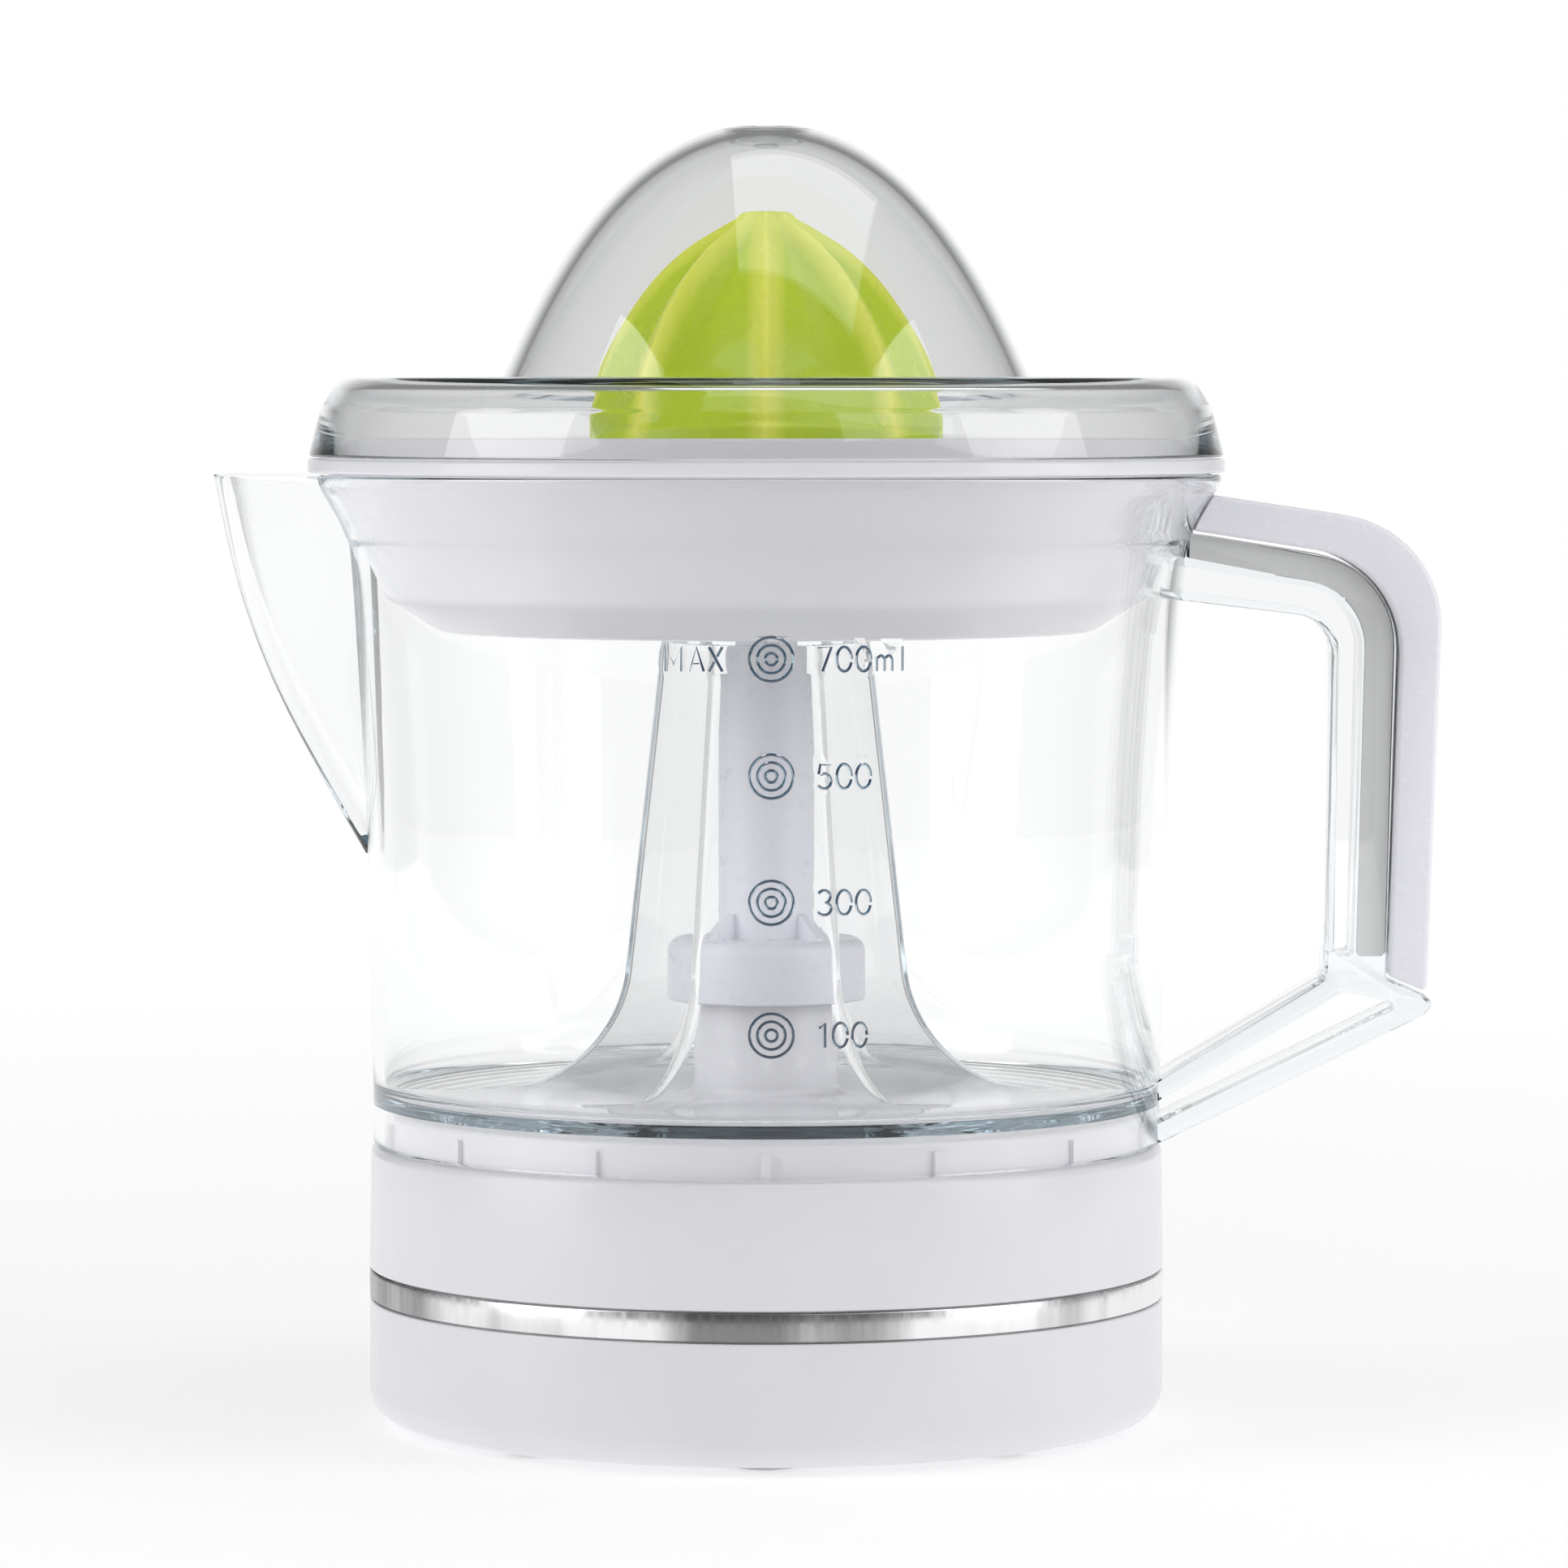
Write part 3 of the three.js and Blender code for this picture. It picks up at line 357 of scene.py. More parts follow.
def turn_points(obj, angle):
    """Turns the mesh about the reamer's axis."""
    cosine, sine = math.cos(angle), math.sin(angle)
    for vertex in obj.data.vertices:
        x, y = vertex.co.x - AXIS_X, vertex.co.y
        vertex.co.x = AXIS_X + x * cosine - y * sine
        vertex.co.y = x * sine + y * cosine


def bake_modifiers(obj):
    depsgraph = bpy.context.evaluated_depsgraph_get()
    mesh = bpy.data.meshes.new_from_object(obj.evaluated_get(depsgraph))
    obj.modifiers.clear()
    obj.data = mesh


def combine(obj, tools, operation):
    for tool in tools:
        step = obj.modifiers.new("combine", "BOOLEAN")
        step.operation = operation
        step.solver = "MANIFOLD"
        step.object = tool
    bpy.context.view_layer.update()
    bake_modifiers(obj)
    for tool in tools:
        bpy.data.objects.remove(tool)
    return obj


def join(obj, *tools):
    return combine(obj, tools, "UNION")


def cut(obj, *tools):
    return combine(obj, tools, "DIFFERENCE")


def keep_common(obj, *tools):
    return combine(obj, tools, "INTERSECT")


def bevel(obj, width, segments=3, degrees=40):
    step = obj.modifiers.new("bevel", "BEVEL")
    step.width = width * MM
    step.segments = segments
    step.limit_method = "ANGLE"
    step.angle_limit = math.radians(degrees)
    step.harden_normals = False
    bpy.context.view_layer.update()
    bake_modifiers(obj)
    return obj


def finish_piece(obj, body, material, replaces=()):
    """Shades a piece, gives it its material and says which body it rides on."""
    obj.data.shade_smooth()
    obj.data.set_sharp_from_angle(angle=math.radians(SHARP_DEGREES))
    obj.data.materials.clear()
    obj.data.materials.append(material)
    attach(obj, body)
    if replaces:
        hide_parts(*replaces)
    return obj


# ---------------------------------------------------------------- materials


def new_material(name):
    """A node material, returned with its shader."""
    material = bpy.data.materials.new(name)
    material.use_nodes = True
    return material, material.node_tree.nodes["Principled BSDF"]


def tree_of(owner):
    """The nodes and links of a material or world."""
    return owner.node_tree.nodes, owner.node_tree.links


def add_noise(material, scale, detail, stretch=(1, 1, 1)):
    """Noise in object space, stretched along the axes; returns its value socket."""
    nodes, links = tree_of(material)
    place = nodes.new("ShaderNodeTexCoord")
    mapping = nodes.new("ShaderNodeMapping")
    mapping.inputs["Scale"].default_value = stretch
    noise = nodes.new("ShaderNodeTexNoise")
    noise.inputs["Scale"].default_value = scale
    noise.inputs["Detail"].default_value = detail
    links.new(place.outputs["Object"], mapping.inputs["Vector"])
    links.new(mapping.outputs["Vector"], noise.inputs["Vector"])
    return noise.outputs["Fac"]


def vary(material, value, low, high, target, start=0.3, end=0.7):
    """Maps a value from start-end to low-high and feeds it to a number socket."""
    nodes, links = tree_of(material)
    spread = nodes.new("ShaderNodeMapRange")
    spread.inputs["From Min"].default_value = start
    spread.inputs["From Max"].default_value = end
    spread.inputs["To Min"].default_value = low
    spread.inputs["To Max"].default_value = high
    links.new(value, spread.inputs["Value"])
    links.new(spread.outputs["Result"], target)


def tint(material, value, colour_a, colour_b, target, start=0.3, end=0.7):
    """Feeds a colour socket: one colour where the value is at start, the other where at end."""
    nodes, links = tree_of(material)
    ramp = nodes.new("ShaderNodeValToRGB")
    ramp.color_ramp.elements[0].position = start
    ramp.color_ramp.elements[1].position = end
    ramp.color_ramp.elements[0].color = (*colour_a, 1)
    ramp.color_ramp.elements[1].color = (*colour_b, 1)
    links.new(value, ramp.inputs["Fac"])
    links.new(ramp.outputs["Color"], target)


def add_stripes(material, direction, scale, distortion):
    """Wavy stripes across one axis of object space; returns their value socket."""
    nodes, links = tree_of(material)
    place = nodes.new("ShaderNodeTexCoord")
    stripes = nodes.new("ShaderNodeTexWave")
    stripes.bands_direction = direction
    stripes.inputs["Scale"].default_value = scale
    stripes.inputs["Distortion"].default_value = distortion
    links.new(place.outputs["Object"], stripes.inputs["Vector"])
    return stripes.outputs["Fac"]


def bump(material, shader, value, strength, distance_mm):
    nodes, links = tree_of(material)
    relief = nodes.new("ShaderNodeBump")
    relief.inputs["Strength"].default_value = strength
    relief.inputs["Distance"].default_value = distance_mm * MM
    links.new(value, relief.inputs["Height"])
    links.new(relief.outputs["Normal"], shader.inputs["Normal"])


def shaded(colour, factor):
    return tuple(channel * factor for channel in colour)


def moulded_plastic(name, colour, roughness, subsurface=0.0):
    """Opaque moulded plastic: faint mottling, uneven gloss and a very shallow ripple."""
    material, shader = new_material(name)
    mottling = add_noise(material, scale=35, detail=3)
    darker, lighter = shaded(colour, 0.975), shaded(colour, 1.02)
    tint(material, mottling, darker, lighter, shader.inputs["Base Color"])
    gloss = add_noise(material, scale=400, detail=5)
    vary(material, gloss, roughness * 0.85, roughness * 1.15, shader.inputs["Roughness"])
    ripple = add_noise(material, scale=900, detail=2)
    bump(material, shader, ripple, strength=0.04, distance_mm=0.05)
    shader.inputs["Specular IOR Level"].default_value = 0.5
    shader.inputs["Subsurface Weight"].default_value = subsurface
    shader.inputs["Subsurface Radius"].default_value = (0.004, 0.004, 0.002)
    return material


def clear_plastic(name, surface_tint=1.0, roughness=0.01):
    """Clear styrene: polished, and bluish where light runs a long way through it."""
    material, shader = new_material(name)
    nodes, links = tree_of(material)
    shader.inputs["Base Color"].default_value = (surface_tint, surface_tint, surface_tint, 1)
    shader.inputs["Transmission Weight"].default_value = 1.0
    shader.inputs["IOR"].default_value = 1.52
    gloss = add_noise(material, scale=60, detail=3)
    vary(material, gloss, 0, 2 * roughness, shader.inputs["Roughness"])
    ripple = add_noise(material, scale=45, detail=2)
    bump(material, shader, ripple, strength=0.02, distance_mm=0.1)
    absorb = nodes.new("ShaderNodeVolumeAbsorption")
    absorb.inputs["Color"].default_value = (0.35, 0.58, 0.70, 1)
    absorb.inputs["Density"].default_value = 8.0
    links.new(absorb.outputs["Volume"], nodes["Material Output"].inputs["Volume"])
    let_lamps_through(material, shader)
    return material


def let_lamps_through(material, shader):
    """Lets the lamps' light pass straight through, so that what stands inside is lit."""
    nodes, links = tree_of(material)
    path = nodes.new("ShaderNodeLightPath")
    window = nodes.new("ShaderNodeBsdfTransparent")
    window.inputs["Color"].default_value = (0.99, 0.99, 0.99, 1)
    choice = nodes.new("ShaderNodeMixShader")
    links.new(path.outputs["Is Shadow Ray"], choice.inputs["Fac"])
    links.new(shader.outputs["BSDF"], choice.inputs[1])
    links.new(window.outputs["BSDF"], choice.inputs[2])
    links.new(choice.outputs["Shader"], nodes["Material Output"].inputs["Surface"])


def reamer_plastic(name):
    """Green plastic with a painted yellowish highlight along and beside its rib crests."""
    material, shader = new_material(name)
    crest = material.node_tree.nodes.new("ShaderNodeAttribute")
    crest.attribute_name = "crest"
    green = (0.52, 0.68, 0.006)
    crest_highlight_yellow = (0.88, 0.90, 0.12)
    # painted highlight: yellow-green on the crests, fading to the plain green between them
    tint(material, crest.outputs["Fac"], green, crest_highlight_yellow, shader.inputs["Base Color"], 0.1, 1)
    gloss = add_noise(material, scale=300, detail=5)
    vary(material, gloss, 0.2, 0.3, shader.inputs["Roughness"])
    ripple = add_noise(material, scale=700, detail=2)
    bump(material, shader, ripple, strength=0.04, distance_mm=0.05)
    shader.inputs["Subsurface Weight"].default_value = 0.25
    shader.inputs["Subsurface Radius"].default_value = (0.004, 0.005, 0.001)
    return material


def brushed_band_metal(name):
    """Thin bright metal with fine upright brushing and painted reflections: broad dark upright
    streaks.
    """
    material, shader = new_material(name)
    shader.inputs["Metallic"].default_value = 1.0
    upright = (1, 1, 0.01)
    painted_reflection_dark = (0.25, 0.25, 0.255)
    bright = (0.92, 0.92, 0.92)
    # painted reflection: the base colour swings between dark and bright in broad upright streaks
    painted_reflection_streaks = add_noise(material, scale=22, detail=8, stretch=upright)
    tint(material, painted_reflection_streaks, painted_reflection_dark, bright, shader.inputs["Base Color"], 0.38, 0.50)
    brushing = add_noise(material, scale=900, detail=4, stretch=upright)
    vary(material, brushing, 0.15, 0.32, shader.inputs["Roughness"])
    bump(material, shader, brushing, strength=0.08, distance_mm=0.05)
    return material


def worked_metal(name, colour, roughness, grain):
    """Plain machined or rolled metal with uneven roughness."""
    material, shader = new_material(name)
    shader.inputs["Metallic"].default_value = 1.0
    clouding = add_noise(material, scale=80, detail=4)
    tint(material, clouding, shaded(colour, 0.85), shaded(colour, 1.1), shader.inputs["Base Color"])
    gloss = add_noise(material, grain, detail=6)
    vary(material, gloss, roughness * 0.7, roughness * 1.3, shader.inputs["Roughness"])
    pitting = add_noise(material, grain, detail=3)
    bump(material, shader, pitting, strength=0.1, distance_mm=0.05)
    return material


def laminated_steel(name):
    """A stack of thin sheets: fine level lines under varnish."""
    material, shader = new_material(name)
    sheets = add_stripes(material, "Z", scale=320, distortion=0.3)
    tint(material, sheets, (0.05, 0.05, 0.055), (0.2, 0.2, 0.21), shader.inputs["Base Color"])
    bump(material, shader, sheets, strength=0.3, distance_mm=0.1)
    shader.inputs["Metallic"].default_value = 0.8
    shader.inputs["Roughness"].default_value = 0.45
    return material


def wound_copper(name):
    """Enamelled wire laid side by side along the coil."""
    material, shader = new_material(name)
    turns = add_stripes(material, "X", scale=400, distortion=0.6)
    tint(material, turns, (0.25, 0.06, 0.015), (0.62, 0.24, 0.08), shader.inputs["Base Color"])
    bump(material, shader, turns, strength=0.6, distance_mm=0.2)
    shader.inputs["Metallic"].default_value = 0.7
    shader.inputs["Roughness"].default_value = 0.35
    return material


def matt_rubber(name, colour):
    """Dull rubber with a dusty, slightly pebbled skin."""
    material, shader = new_material(name)
    dust = add_noise(material, scale=120, detail=5)
    tint(material, dust, shaded(colour, 0.8), shaded(colour, 1.2), shader.inputs["Base Color"])
    gloss = add_noise(material, scale=500, detail=4)
    vary(material, gloss, 0.7, 0.9, shader.inputs["Roughness"])
    pebbles = add_noise(material, scale=1500, detail=3)
    bump(material, shader, pebbles, strength=0.25, distance_mm=0.08)
    return material


MATERIALS = {
    "white_plastic": moulded_plastic("white plastic", (0.80, 0.795, 0.83), 0.22, 0.05),
    "clear_plastic": clear_plastic("clear plastic"),
    "green_plastic": reamer_plastic("green plastic"),
    "lavender_plastic": moulded_plastic("lavender plastic", (0.86, 0.86, 0.93), 0.3, 0.1),
    "trim_steel": brushed_band_metal("brushed band"),
    "steel": worked_metal("plain steel", (0.55, 0.55, 0.56), 0.35, 250),
    "lamination": laminated_steel("motor laminations"),
    "copper": wound_copper("coil winding"),
    "ferrite": worked_metal("ferrite", (0.05, 0.05, 0.052), 0.6, 400),
    "nylon": moulded_plastic("nylon", (0.72, 0.69, 0.58), 0.45, 0.1),
    "acetal": moulded_plastic("acetal", (0.80, 0.79, 0.75), 0.4, 0.05),
    "bronze": worked_metal("sintered bronze", (0.50, 0.30, 0.12), 0.45, 900),
    "black_plastic": moulded_plastic("black plastic", (0.03, 0.03, 0.032), 0.5),
    "rubber": matt_rubber("grey rubber", (0.12, 0.12, 0.125)),
}

# The lid's plastic is dimmed all over (surface tint 0.89): painted shade standing in for a grey
# backdrop seen through the dome.
SHADE_DIMMED_CLEAR = clear_plastic("clear plastic dimmed for painted shade", surface_tint=0.89)
FROSTED_CLEAR = clear_plastic("frosted clear plastic", surface_tint=1.0, roughness=0.12)
COVER_PLASTIC = moulded_plastic("handle cover plastic", (0.87, 0.87, 0.93), 0.25, 0.05)
SHADED_RAIL = moulded_plastic("handle rail plastic", (0.90, 0.90, 0.895), 0.4)
PALE_RUBBER = matt_rubber("pale rubber", (0.62, 0.62, 0.64))


def dress_cad_nodes():
    """Every CAD node takes the procedural material of its slot in the record."""
    for subpart in frame["record"]["subparts"]:
        node = frame["nodes"][subpart["node"]]
        material = MATERIALS[subpart["material_slot"]]
        if not node.material_slots:
            node.data.materials.append(material)
        for slot in node.material_slots:
            slot.material = material


# ---------------------------------------------------------------- base


def housing_shell():
    """The upper shell: side wall, ribbed neck, deck and the tower that holds the spindle."""
    inside = BASE_RADIUS - BASE_WALL
    behind_band = BASE_RADIUS - BAND_THICKNESS - BAND_GAP
    inside_neck = NECK_RADIUS - BASE_WALL
    shell = revolve("housing_shell", rounded([
        (behind_band, SEAM + BAND_GAP), (behind_band, BAND_TOP + BAND_GAP),
        (BASE_RADIUS, BAND_TOP + BAND_GAP, 0.3), (BASE_RADIUS - 0.3, SHOULDER, 1.4),
        (NECK_RADIUS, SHOULDER, 0.4), (NECK_RADIUS, DECK, 1.0),
        (TOWER_RADIUS, DECK, 2.5), (TOWER_RADIUS, TOWER_TOP, 0.8), (TOWER_BORE, TOWER_TOP, 0.3),
        (TOWER_BORE, DECK_UNDERSIDE), (inside_neck, DECK_UNDERSIDE),
        (inside_neck, SHOULDER - BASE_WALL), (inside, SHOULDER - BASE_WALL - 1),
        (inside, SEAM + BAND_GAP),
    ]))
    additions = []
    for x, y, angle in around_circle(NECK_RIBS, NECK_RADIUS, 270):
        rib = block(-0.6, 0.8, -0.7, 0.7, SHOULDER - 0.5, DECK - 1.5)
        turn_points(rib, angle)
        shift_points(rib, Vector((x, y, 0)))
        additions.append(rib)
    drillings = []
    for x, y, _ in around_circle(4, SCREW_CIRCLE, 45):
        additions.append(rod(SCREW_BOSS_RADIUS, 8.3, DECK_UNDERSIDE + 1, x, y))
        drillings.append(rod(SCREW_HOLE_RADIUS, 0, 18, x, y))
    for x, y in PLATE_POSTS:
        additions.append(rod(PLATE_POST_RADIUS, 30.0, DECK_UNDERSIDE + 1, x, y))
        drillings.append(rod(SCREW_HOLE_RADIUS, 0, 39, x, y))
    join(shell, *additions)
    return cut(shell, *drillings)


def tray_shell():
    """The lower shell, with wells for the feet and screws, vents, and the gland's hole."""
    inside = BASE_RADIUS - BASE_WALL
    behind_band = BASE_RADIUS - BAND_THICKNESS - BAND_GAP
    shell = revolve("tray_shell", rounded([
        (0, TRAY_UNDERSIDE), (BASE_RADIUS, TRAY_UNDERSIDE, 5.5),
        (BASE_RADIUS, BAND_BOTTOM - BAND_GAP, 0.3), (behind_band, BAND_BOTTOM - BAND_GAP),
        (behind_band, SEAM), (inside, SEAM), (inside, TRAY_FLOOR, 3.2), (0, TRAY_FLOOR),
    ], 10))
    bosses = []
    drillings = []
    for x, y, _ in around_circle(4, SCREW_CIRCLE, 45):
        bosses.append(rod(SCREW_BOSS_RADIUS, 3.5, 8, x, y))
        drillings.append(rod(SCREW_HEAD_HOLE_RADIUS, 0, 4.8, x, y))
        drillings.append(rod(SCREW_HOLE_RADIUS, 0, 9, x, y))
    for x, y, _ in around_circle(4, FOOT_CIRCLE):
        drillings.append(rod(FOOT_RADIUS + FOOT_CLEARANCE, 0, FOOT_HEIGHT + FOOT_CLEARANCE, x, y))
    for x in evenly(-16, 16, VENT_SLOTS):
        drillings.append(block(x - 1.2, x + 1.2, -38, -22, 0, 5))
    drillings.append(rod_along_y(GLAND_RADIUS, 50, 70, 0, GLAND_HEIGHT))
    join(shell, *bosses)
    return cut(shell, *drillings)


def steel_band():
    inner = BASE_RADIUS - BAND_THICKNESS
    return revolve("steel_band", rounded([
        (inner, BAND_BOTTOM), (BASE_RADIUS, BAND_BOTTOM, 0.2), (BASE_RADIUS, BAND_TOP, 0.2),
        (inner, BAND_TOP),
    ], 3), 256)


def rubber_foot(number, x, y):
    """A round foot with a ring-shaped groove in its sole."""
    foot = revolve(f"rubber_foot_{number}", rounded([
        (0, 0.3), (2.0, 0.3), (2.4, 0), (3.2, 0), (3.6, 0.3), (4.0, 0.3), (4.4, 0),
        (FOOT_RADIUS, 0, 0.9), (FOOT_RADIUS, FOOT_HEIGHT, 0.2), (0, FOOT_HEIGHT),
    ], 4), SMALL_ROUND)
    shift_points(foot, Vector((x, y, 0)))
    return foot


# ---------------------------------------------------------------- jug


def jug_cup():
    """The jug's wall and floor, with the skirt that stands over the base's neck."""
    side = curve_through(JUG_SIDE)
    inner_side = [(size - JUG_WALL, height) for size, height in reversed(side)]
    lower_inside = JUG_LOW_RADIUS - JUG_WALL
    floor_corner = rounded([
        inner_side[-1], (lower_inside, JUG_FLOOR, 2.4), (0, JUG_FLOOR),
    ])[1:-1]
    rim = rounded([
        side[-1], (71.5, 149.0, 0.3), (JUG_RIM_RADIUS, JUG_RIM, 0.5), (70.2, JUG_RIM, 0.3),
        inner_side[0],
    ], 4)
    return revolve("clear_jug", [
        (0, JUG_FLOOR_UNDERSIDE), (lower_inside, JUG_FLOOR_UNDERSIDE), (lower_inside, JUG_SKIRT),
        (62.0, JUG_SKIRT), (JUG_LOW_RADIUS, JUG_SKIRT + 0.3), *side[:-1], *rim[:-1], *inner_side,
        *floor_corner, (0, JUG_FLOOR),
    ])


def chimney_radius(height, wall):
    """Distance from the axis to a corner of the six-sided chimney, flaring into the floor."""
    tapered = CHIMNEY_RADIUS - CHIMNEY_TAPER * (height - CHIMNEY_RADIUS_HEIGHT)
    below_fillet = JUG_FLOOR + CHIMNEY_FILLET - height
    if below_fillet <= 0:
        return tapered - wall
    reach = (CHIMNEY_FILLET + wall) ** 2 - below_fillet ** 2
    return tapered + CHIMNEY_FILLET - math.sqrt(max(0, reach))


def chimney_ring(height, wall):
    """A hexagon with rounded corners, one wall in from the chimney's outer face."""
    rounding = CHIMNEY_CORNER_ROUNDING
    centre = chimney_radius(height, wall) - rounding / math.cos(math.radians(30))
    ring = []
    for corner in range(6):
        middle = math.radians(60 * corner)
        for spread in evenly(-30, 30, 7):
            angle = middle + math.radians(spread)
            x = centre * math.cos(middle) + rounding * math.cos(angle)
            y = centre * math.sin(middle) + rounding * math.sin(angle)
            ring.append((x, y, height))
    return ring


def chimney_solid(heights, wall):
    return loft("tool", [chimney_ring(height, wall) for height in heights])


def spout_ring(height, wall, back_x=None):
    """The spout's outline at a height: half an ellipse closed by a straight back."""
    tip_line = curve_through(SPOUT_TIP)
    jug_line = [(JUG_LOW_RADIUS, JUG_SKIRT), *curve_through(JUG_SIDE), (JUG_RIM_RADIUS, JUG_RIM)]
    share = (height - SPOUT_TIP[0][1]) / (JUG_RIM - SPOUT_TIP[0][1])
    widening = (SPOUT_HALF_WIDTH - SPOUT_LOW_HALF_WIDTH) * min(1, max(0, share))
    half_width = SPOUT_LOW_HALF_WIDTH + widening - wall
    tip = size_at(tip_line, height) - wall
    root = math.sqrt(size_at(jug_line, height) ** 2 - half_width ** 2) - 1
    back = -root + 0.4 if back_x is None else back_x
    ring = []
    for degrees in evenly(90, 270, 25):
        angle = math.radians(degrees)
        ring.append((-root + (tip - root) * math.cos(angle), half_width * math.sin(angle), height))
    return ring + [(back, -half_width, height), (back, half_width, height)]


def jug_core(shrink):
    """The jug's outer shape as a solid, a little smaller, for trimming what meets the wall."""
    side = offset_outline([
        (JUG_LOW_RADIUS, 30), *curve_through(JUG_SIDE), (JUG_RIM_RADIUS, 149.5),
        (JUG_RIM_RADIUS, 165),
    ], -shrink)
    return revolve("tool", [(0, 30), *side, (0, 165)])


def handle_frame():
    """The clear frame: thick flanges round a thin web, sunk from both sides."""
    outline = rounded([
        (60, 142.6), (99.4, 136.2, 15), (97.5, 71.4, 1), (105.4, 67.9, 1.2), (103.6, 65.7, 0.6),
        (55, 42), (55, 51.2), (88.2, 71.4, 2), (89.15, 128.05, 6.5), (60, 131.6),
    ], 10)
    upper_pocket = rounded([
        (60, 137.2), (93.8, 131.6, 10), (92.4, 75, 0.8), (89.3, 75, 0.8), (90.2, 129.2, 7.5),
        (60, 133.0),
    ], 10)
    lower_pocket = rounded([(55, 45.2), (100.5, 67.4, 0.8), (91, 69.4, 1.5), (55, 48.2)], 4)
    frame_solid = side_slab("tool", outline, FRAME_HALF_WIDTH)
    bevel(frame_solid, 0.6, 2)
    cut(
        frame_solid,
        side_slab("tool", upper_pocket, FRAME_HALF_WIDTH + 1),
        side_slab("tool", lower_pocket, FRAME_HALF_WIDTH + 1),
    )
    join(frame_solid, side_slab("tool", outline, WEB_HALF_WIDTH))
    return cut(frame_solid, jug_core(0.9), rail_slab("tool", 0.15))


def rail_slab(name, gap=0.0):
    """The white rail of the grip that runs inside the frame's thick outer flange."""
    outline = rounded([
        (66.5, 141.2 + gap), (98.7 + gap, 135.4 + gap, 14), (97.1 + gap, 75 - gap, 0.8),
        (93.0 - gap, 75 - gap, 0.8), (94.4 - gap, 132.3 - gap, 10.5), (66.5, 137.6 - gap),
    ], 10)
    return side_slab(name, outline, RAIL_HALF_WIDTH + gap)


def clear_jug():
    """The jug in one clear moulding: cup, chimney, spout, handle frame and volume marks."""
    jug = jug_cup()
    outer_heights = [52.3, *evenly(53.2, 72.2, 20), 105, CHIMNEY_TOP]
    inner_heights = [51.2, 51.7, *evenly(53.2, 72.2, 16), 105, 124]
    spout = loft("tool", [spout_ring(height, 0) for height in evenly(90.8, JUG_RIM, 25)])
    channel_rings = [spout_ring(height, SPOUT_WALL, -52) for height in evenly(94, JUG_RIM + 2, 25)]
    channel = loft("tool", channel_rings)
    bush_seat = rod(BUSH_SEAT_RADIUS, 123, 137.5)
    shaft_hole = rod(9, 130, 150)
    join(jug, chimney_solid(outer_heights, 0), spout)
    cut(jug, chimney_solid(inner_heights, CHIMNEY_WALL), channel, bush_seat, shaft_hole)
    join(jug, handle_frame())
    for mark in volume_marks():
        join(jug, mark)
    return jug


def frost_marks(jug):
    """Gives the raised marks a slightly matt, spark-eroded finish."""
    jug.data.materials.append(FROSTED_CLEAR)
    wall = [(JUG_LOW_RADIUS, JUG_SKIRT), *curve_through(JUG_SIDE)]
    for face in jug.data.polygons:
        x = (face.center.x - AXIS_X) / MM
        y, height = face.center.y / MM, face.center.z / MM
        in_front = y < 0 and abs(x) < 30 and 60 < height < 130
        on_a_mark = in_front and math.hypot(x, y) > size_at(wall, height) + 0.03
        if on_a_mark:
            face.material_index = 1


def arc(x, y, half_width, half_height, start, end, steps=14):
    """Points along an elliptical arc, from one angle in degrees to another."""
    angles = [math.radians(degrees) for degrees in evenly(start, end, steps)]
    return [(x + half_width * math.cos(a), y + half_height * math.sin(a)) for a in angles]


# Strokes of the generic volume marks: each character is a list of paths in a box of height 1.
GLYPHS = {
    "0": [arc(0.32, 0.5, 0.28, 0.46, 0, 345, 24)],
    "1": [[(0.12, 0.76), (0.34, 0.96), (0.34, 0.04)]],
    "3": [arc(0.3, 0.72, 0.24, 0.24, 150, -80), arc(0.3, 0.27, 0.27, 0.24, 75, -150)],
    "5": [[(0.56, 0.96), (0.16, 0.96), (0.1, 0.58)], arc(0.3, 0.32, 0.27, 0.28, 120, -145)],
    "7": [[(0.06, 0.96), (0.58, 0.96), (0.24, 0.04)]],
    "m": [[(0.08, 0.6), (0.08, 0.04)], arc(0.25, 0.42, 0.13, 0.2, 150, 0) + [(0.38, 0.04)],
          arc(0.55, 0.42, 0.13, 0.2, 150, 0) + [(0.68, 0.04)]],
    "l": [[(0.16, 0.96), (0.16, 0.04)]],
    "M": [[(0.06, 0.04), (0.06, 0.96), (0.36, 0.3), (0.66, 0.96), (0.66, 0.04)]],
    "A": [[(0.04, 0.04), (0.32, 0.96), (0.6, 0.04)], [(0.2, 0.36), (0.44, 0.36)]],
    "X": [[(0.06, 0.96), (0.56, 0.04)], [(0.06, 0.04), (0.26, 0.41)], [(0.36, 0.59), (0.56, 0.96)]],
}
GLYPH_WIDTHS = {"m": 0.92, "l": 0.42, "M": 0.9, "1": 0.6}


def on_jug_front(across, height):
    """A point just under the jug's outer face, this far to the right of its front's middle."""
    radius = size_at([(JUG_LOW_RADIUS, JUG_SKIRT), *curve_through(JUG_SIDE)], height) - MARK_SUNK
    angle = across / radius
    return Vector((radius * math.sin(angle), -radius * math.cos(angle), height))


def raised_line(path, closed=False):
    """A thin bead, half sunk, along a path of (across, height) points on the jug's front."""
    corners = [2 * math.pi * corner / MARK_STROKE_CORNERS for corner in range(MARK_STROKE_CORNERS)]
    points = [on_jug_front(*point) for point in path]
    rings = []
    for index, point in enumerate(points):
        before = points[index - 1] if closed or index else point
        after = points[(index + 1) % len(points)] if closed or index + 1 < len(points) else point
        along = (after - before).normalized()
        outward = Vector((point.x, point.y, 0)).normalized()
        sideways = along.cross(outward).normalized()
        rings.append([
            tuple(point + MARK_STROKE * (outward * math.sin(a) + sideways * math.cos(a)))
            for a in corners
        ])
    return loft("mark", rings, closed)


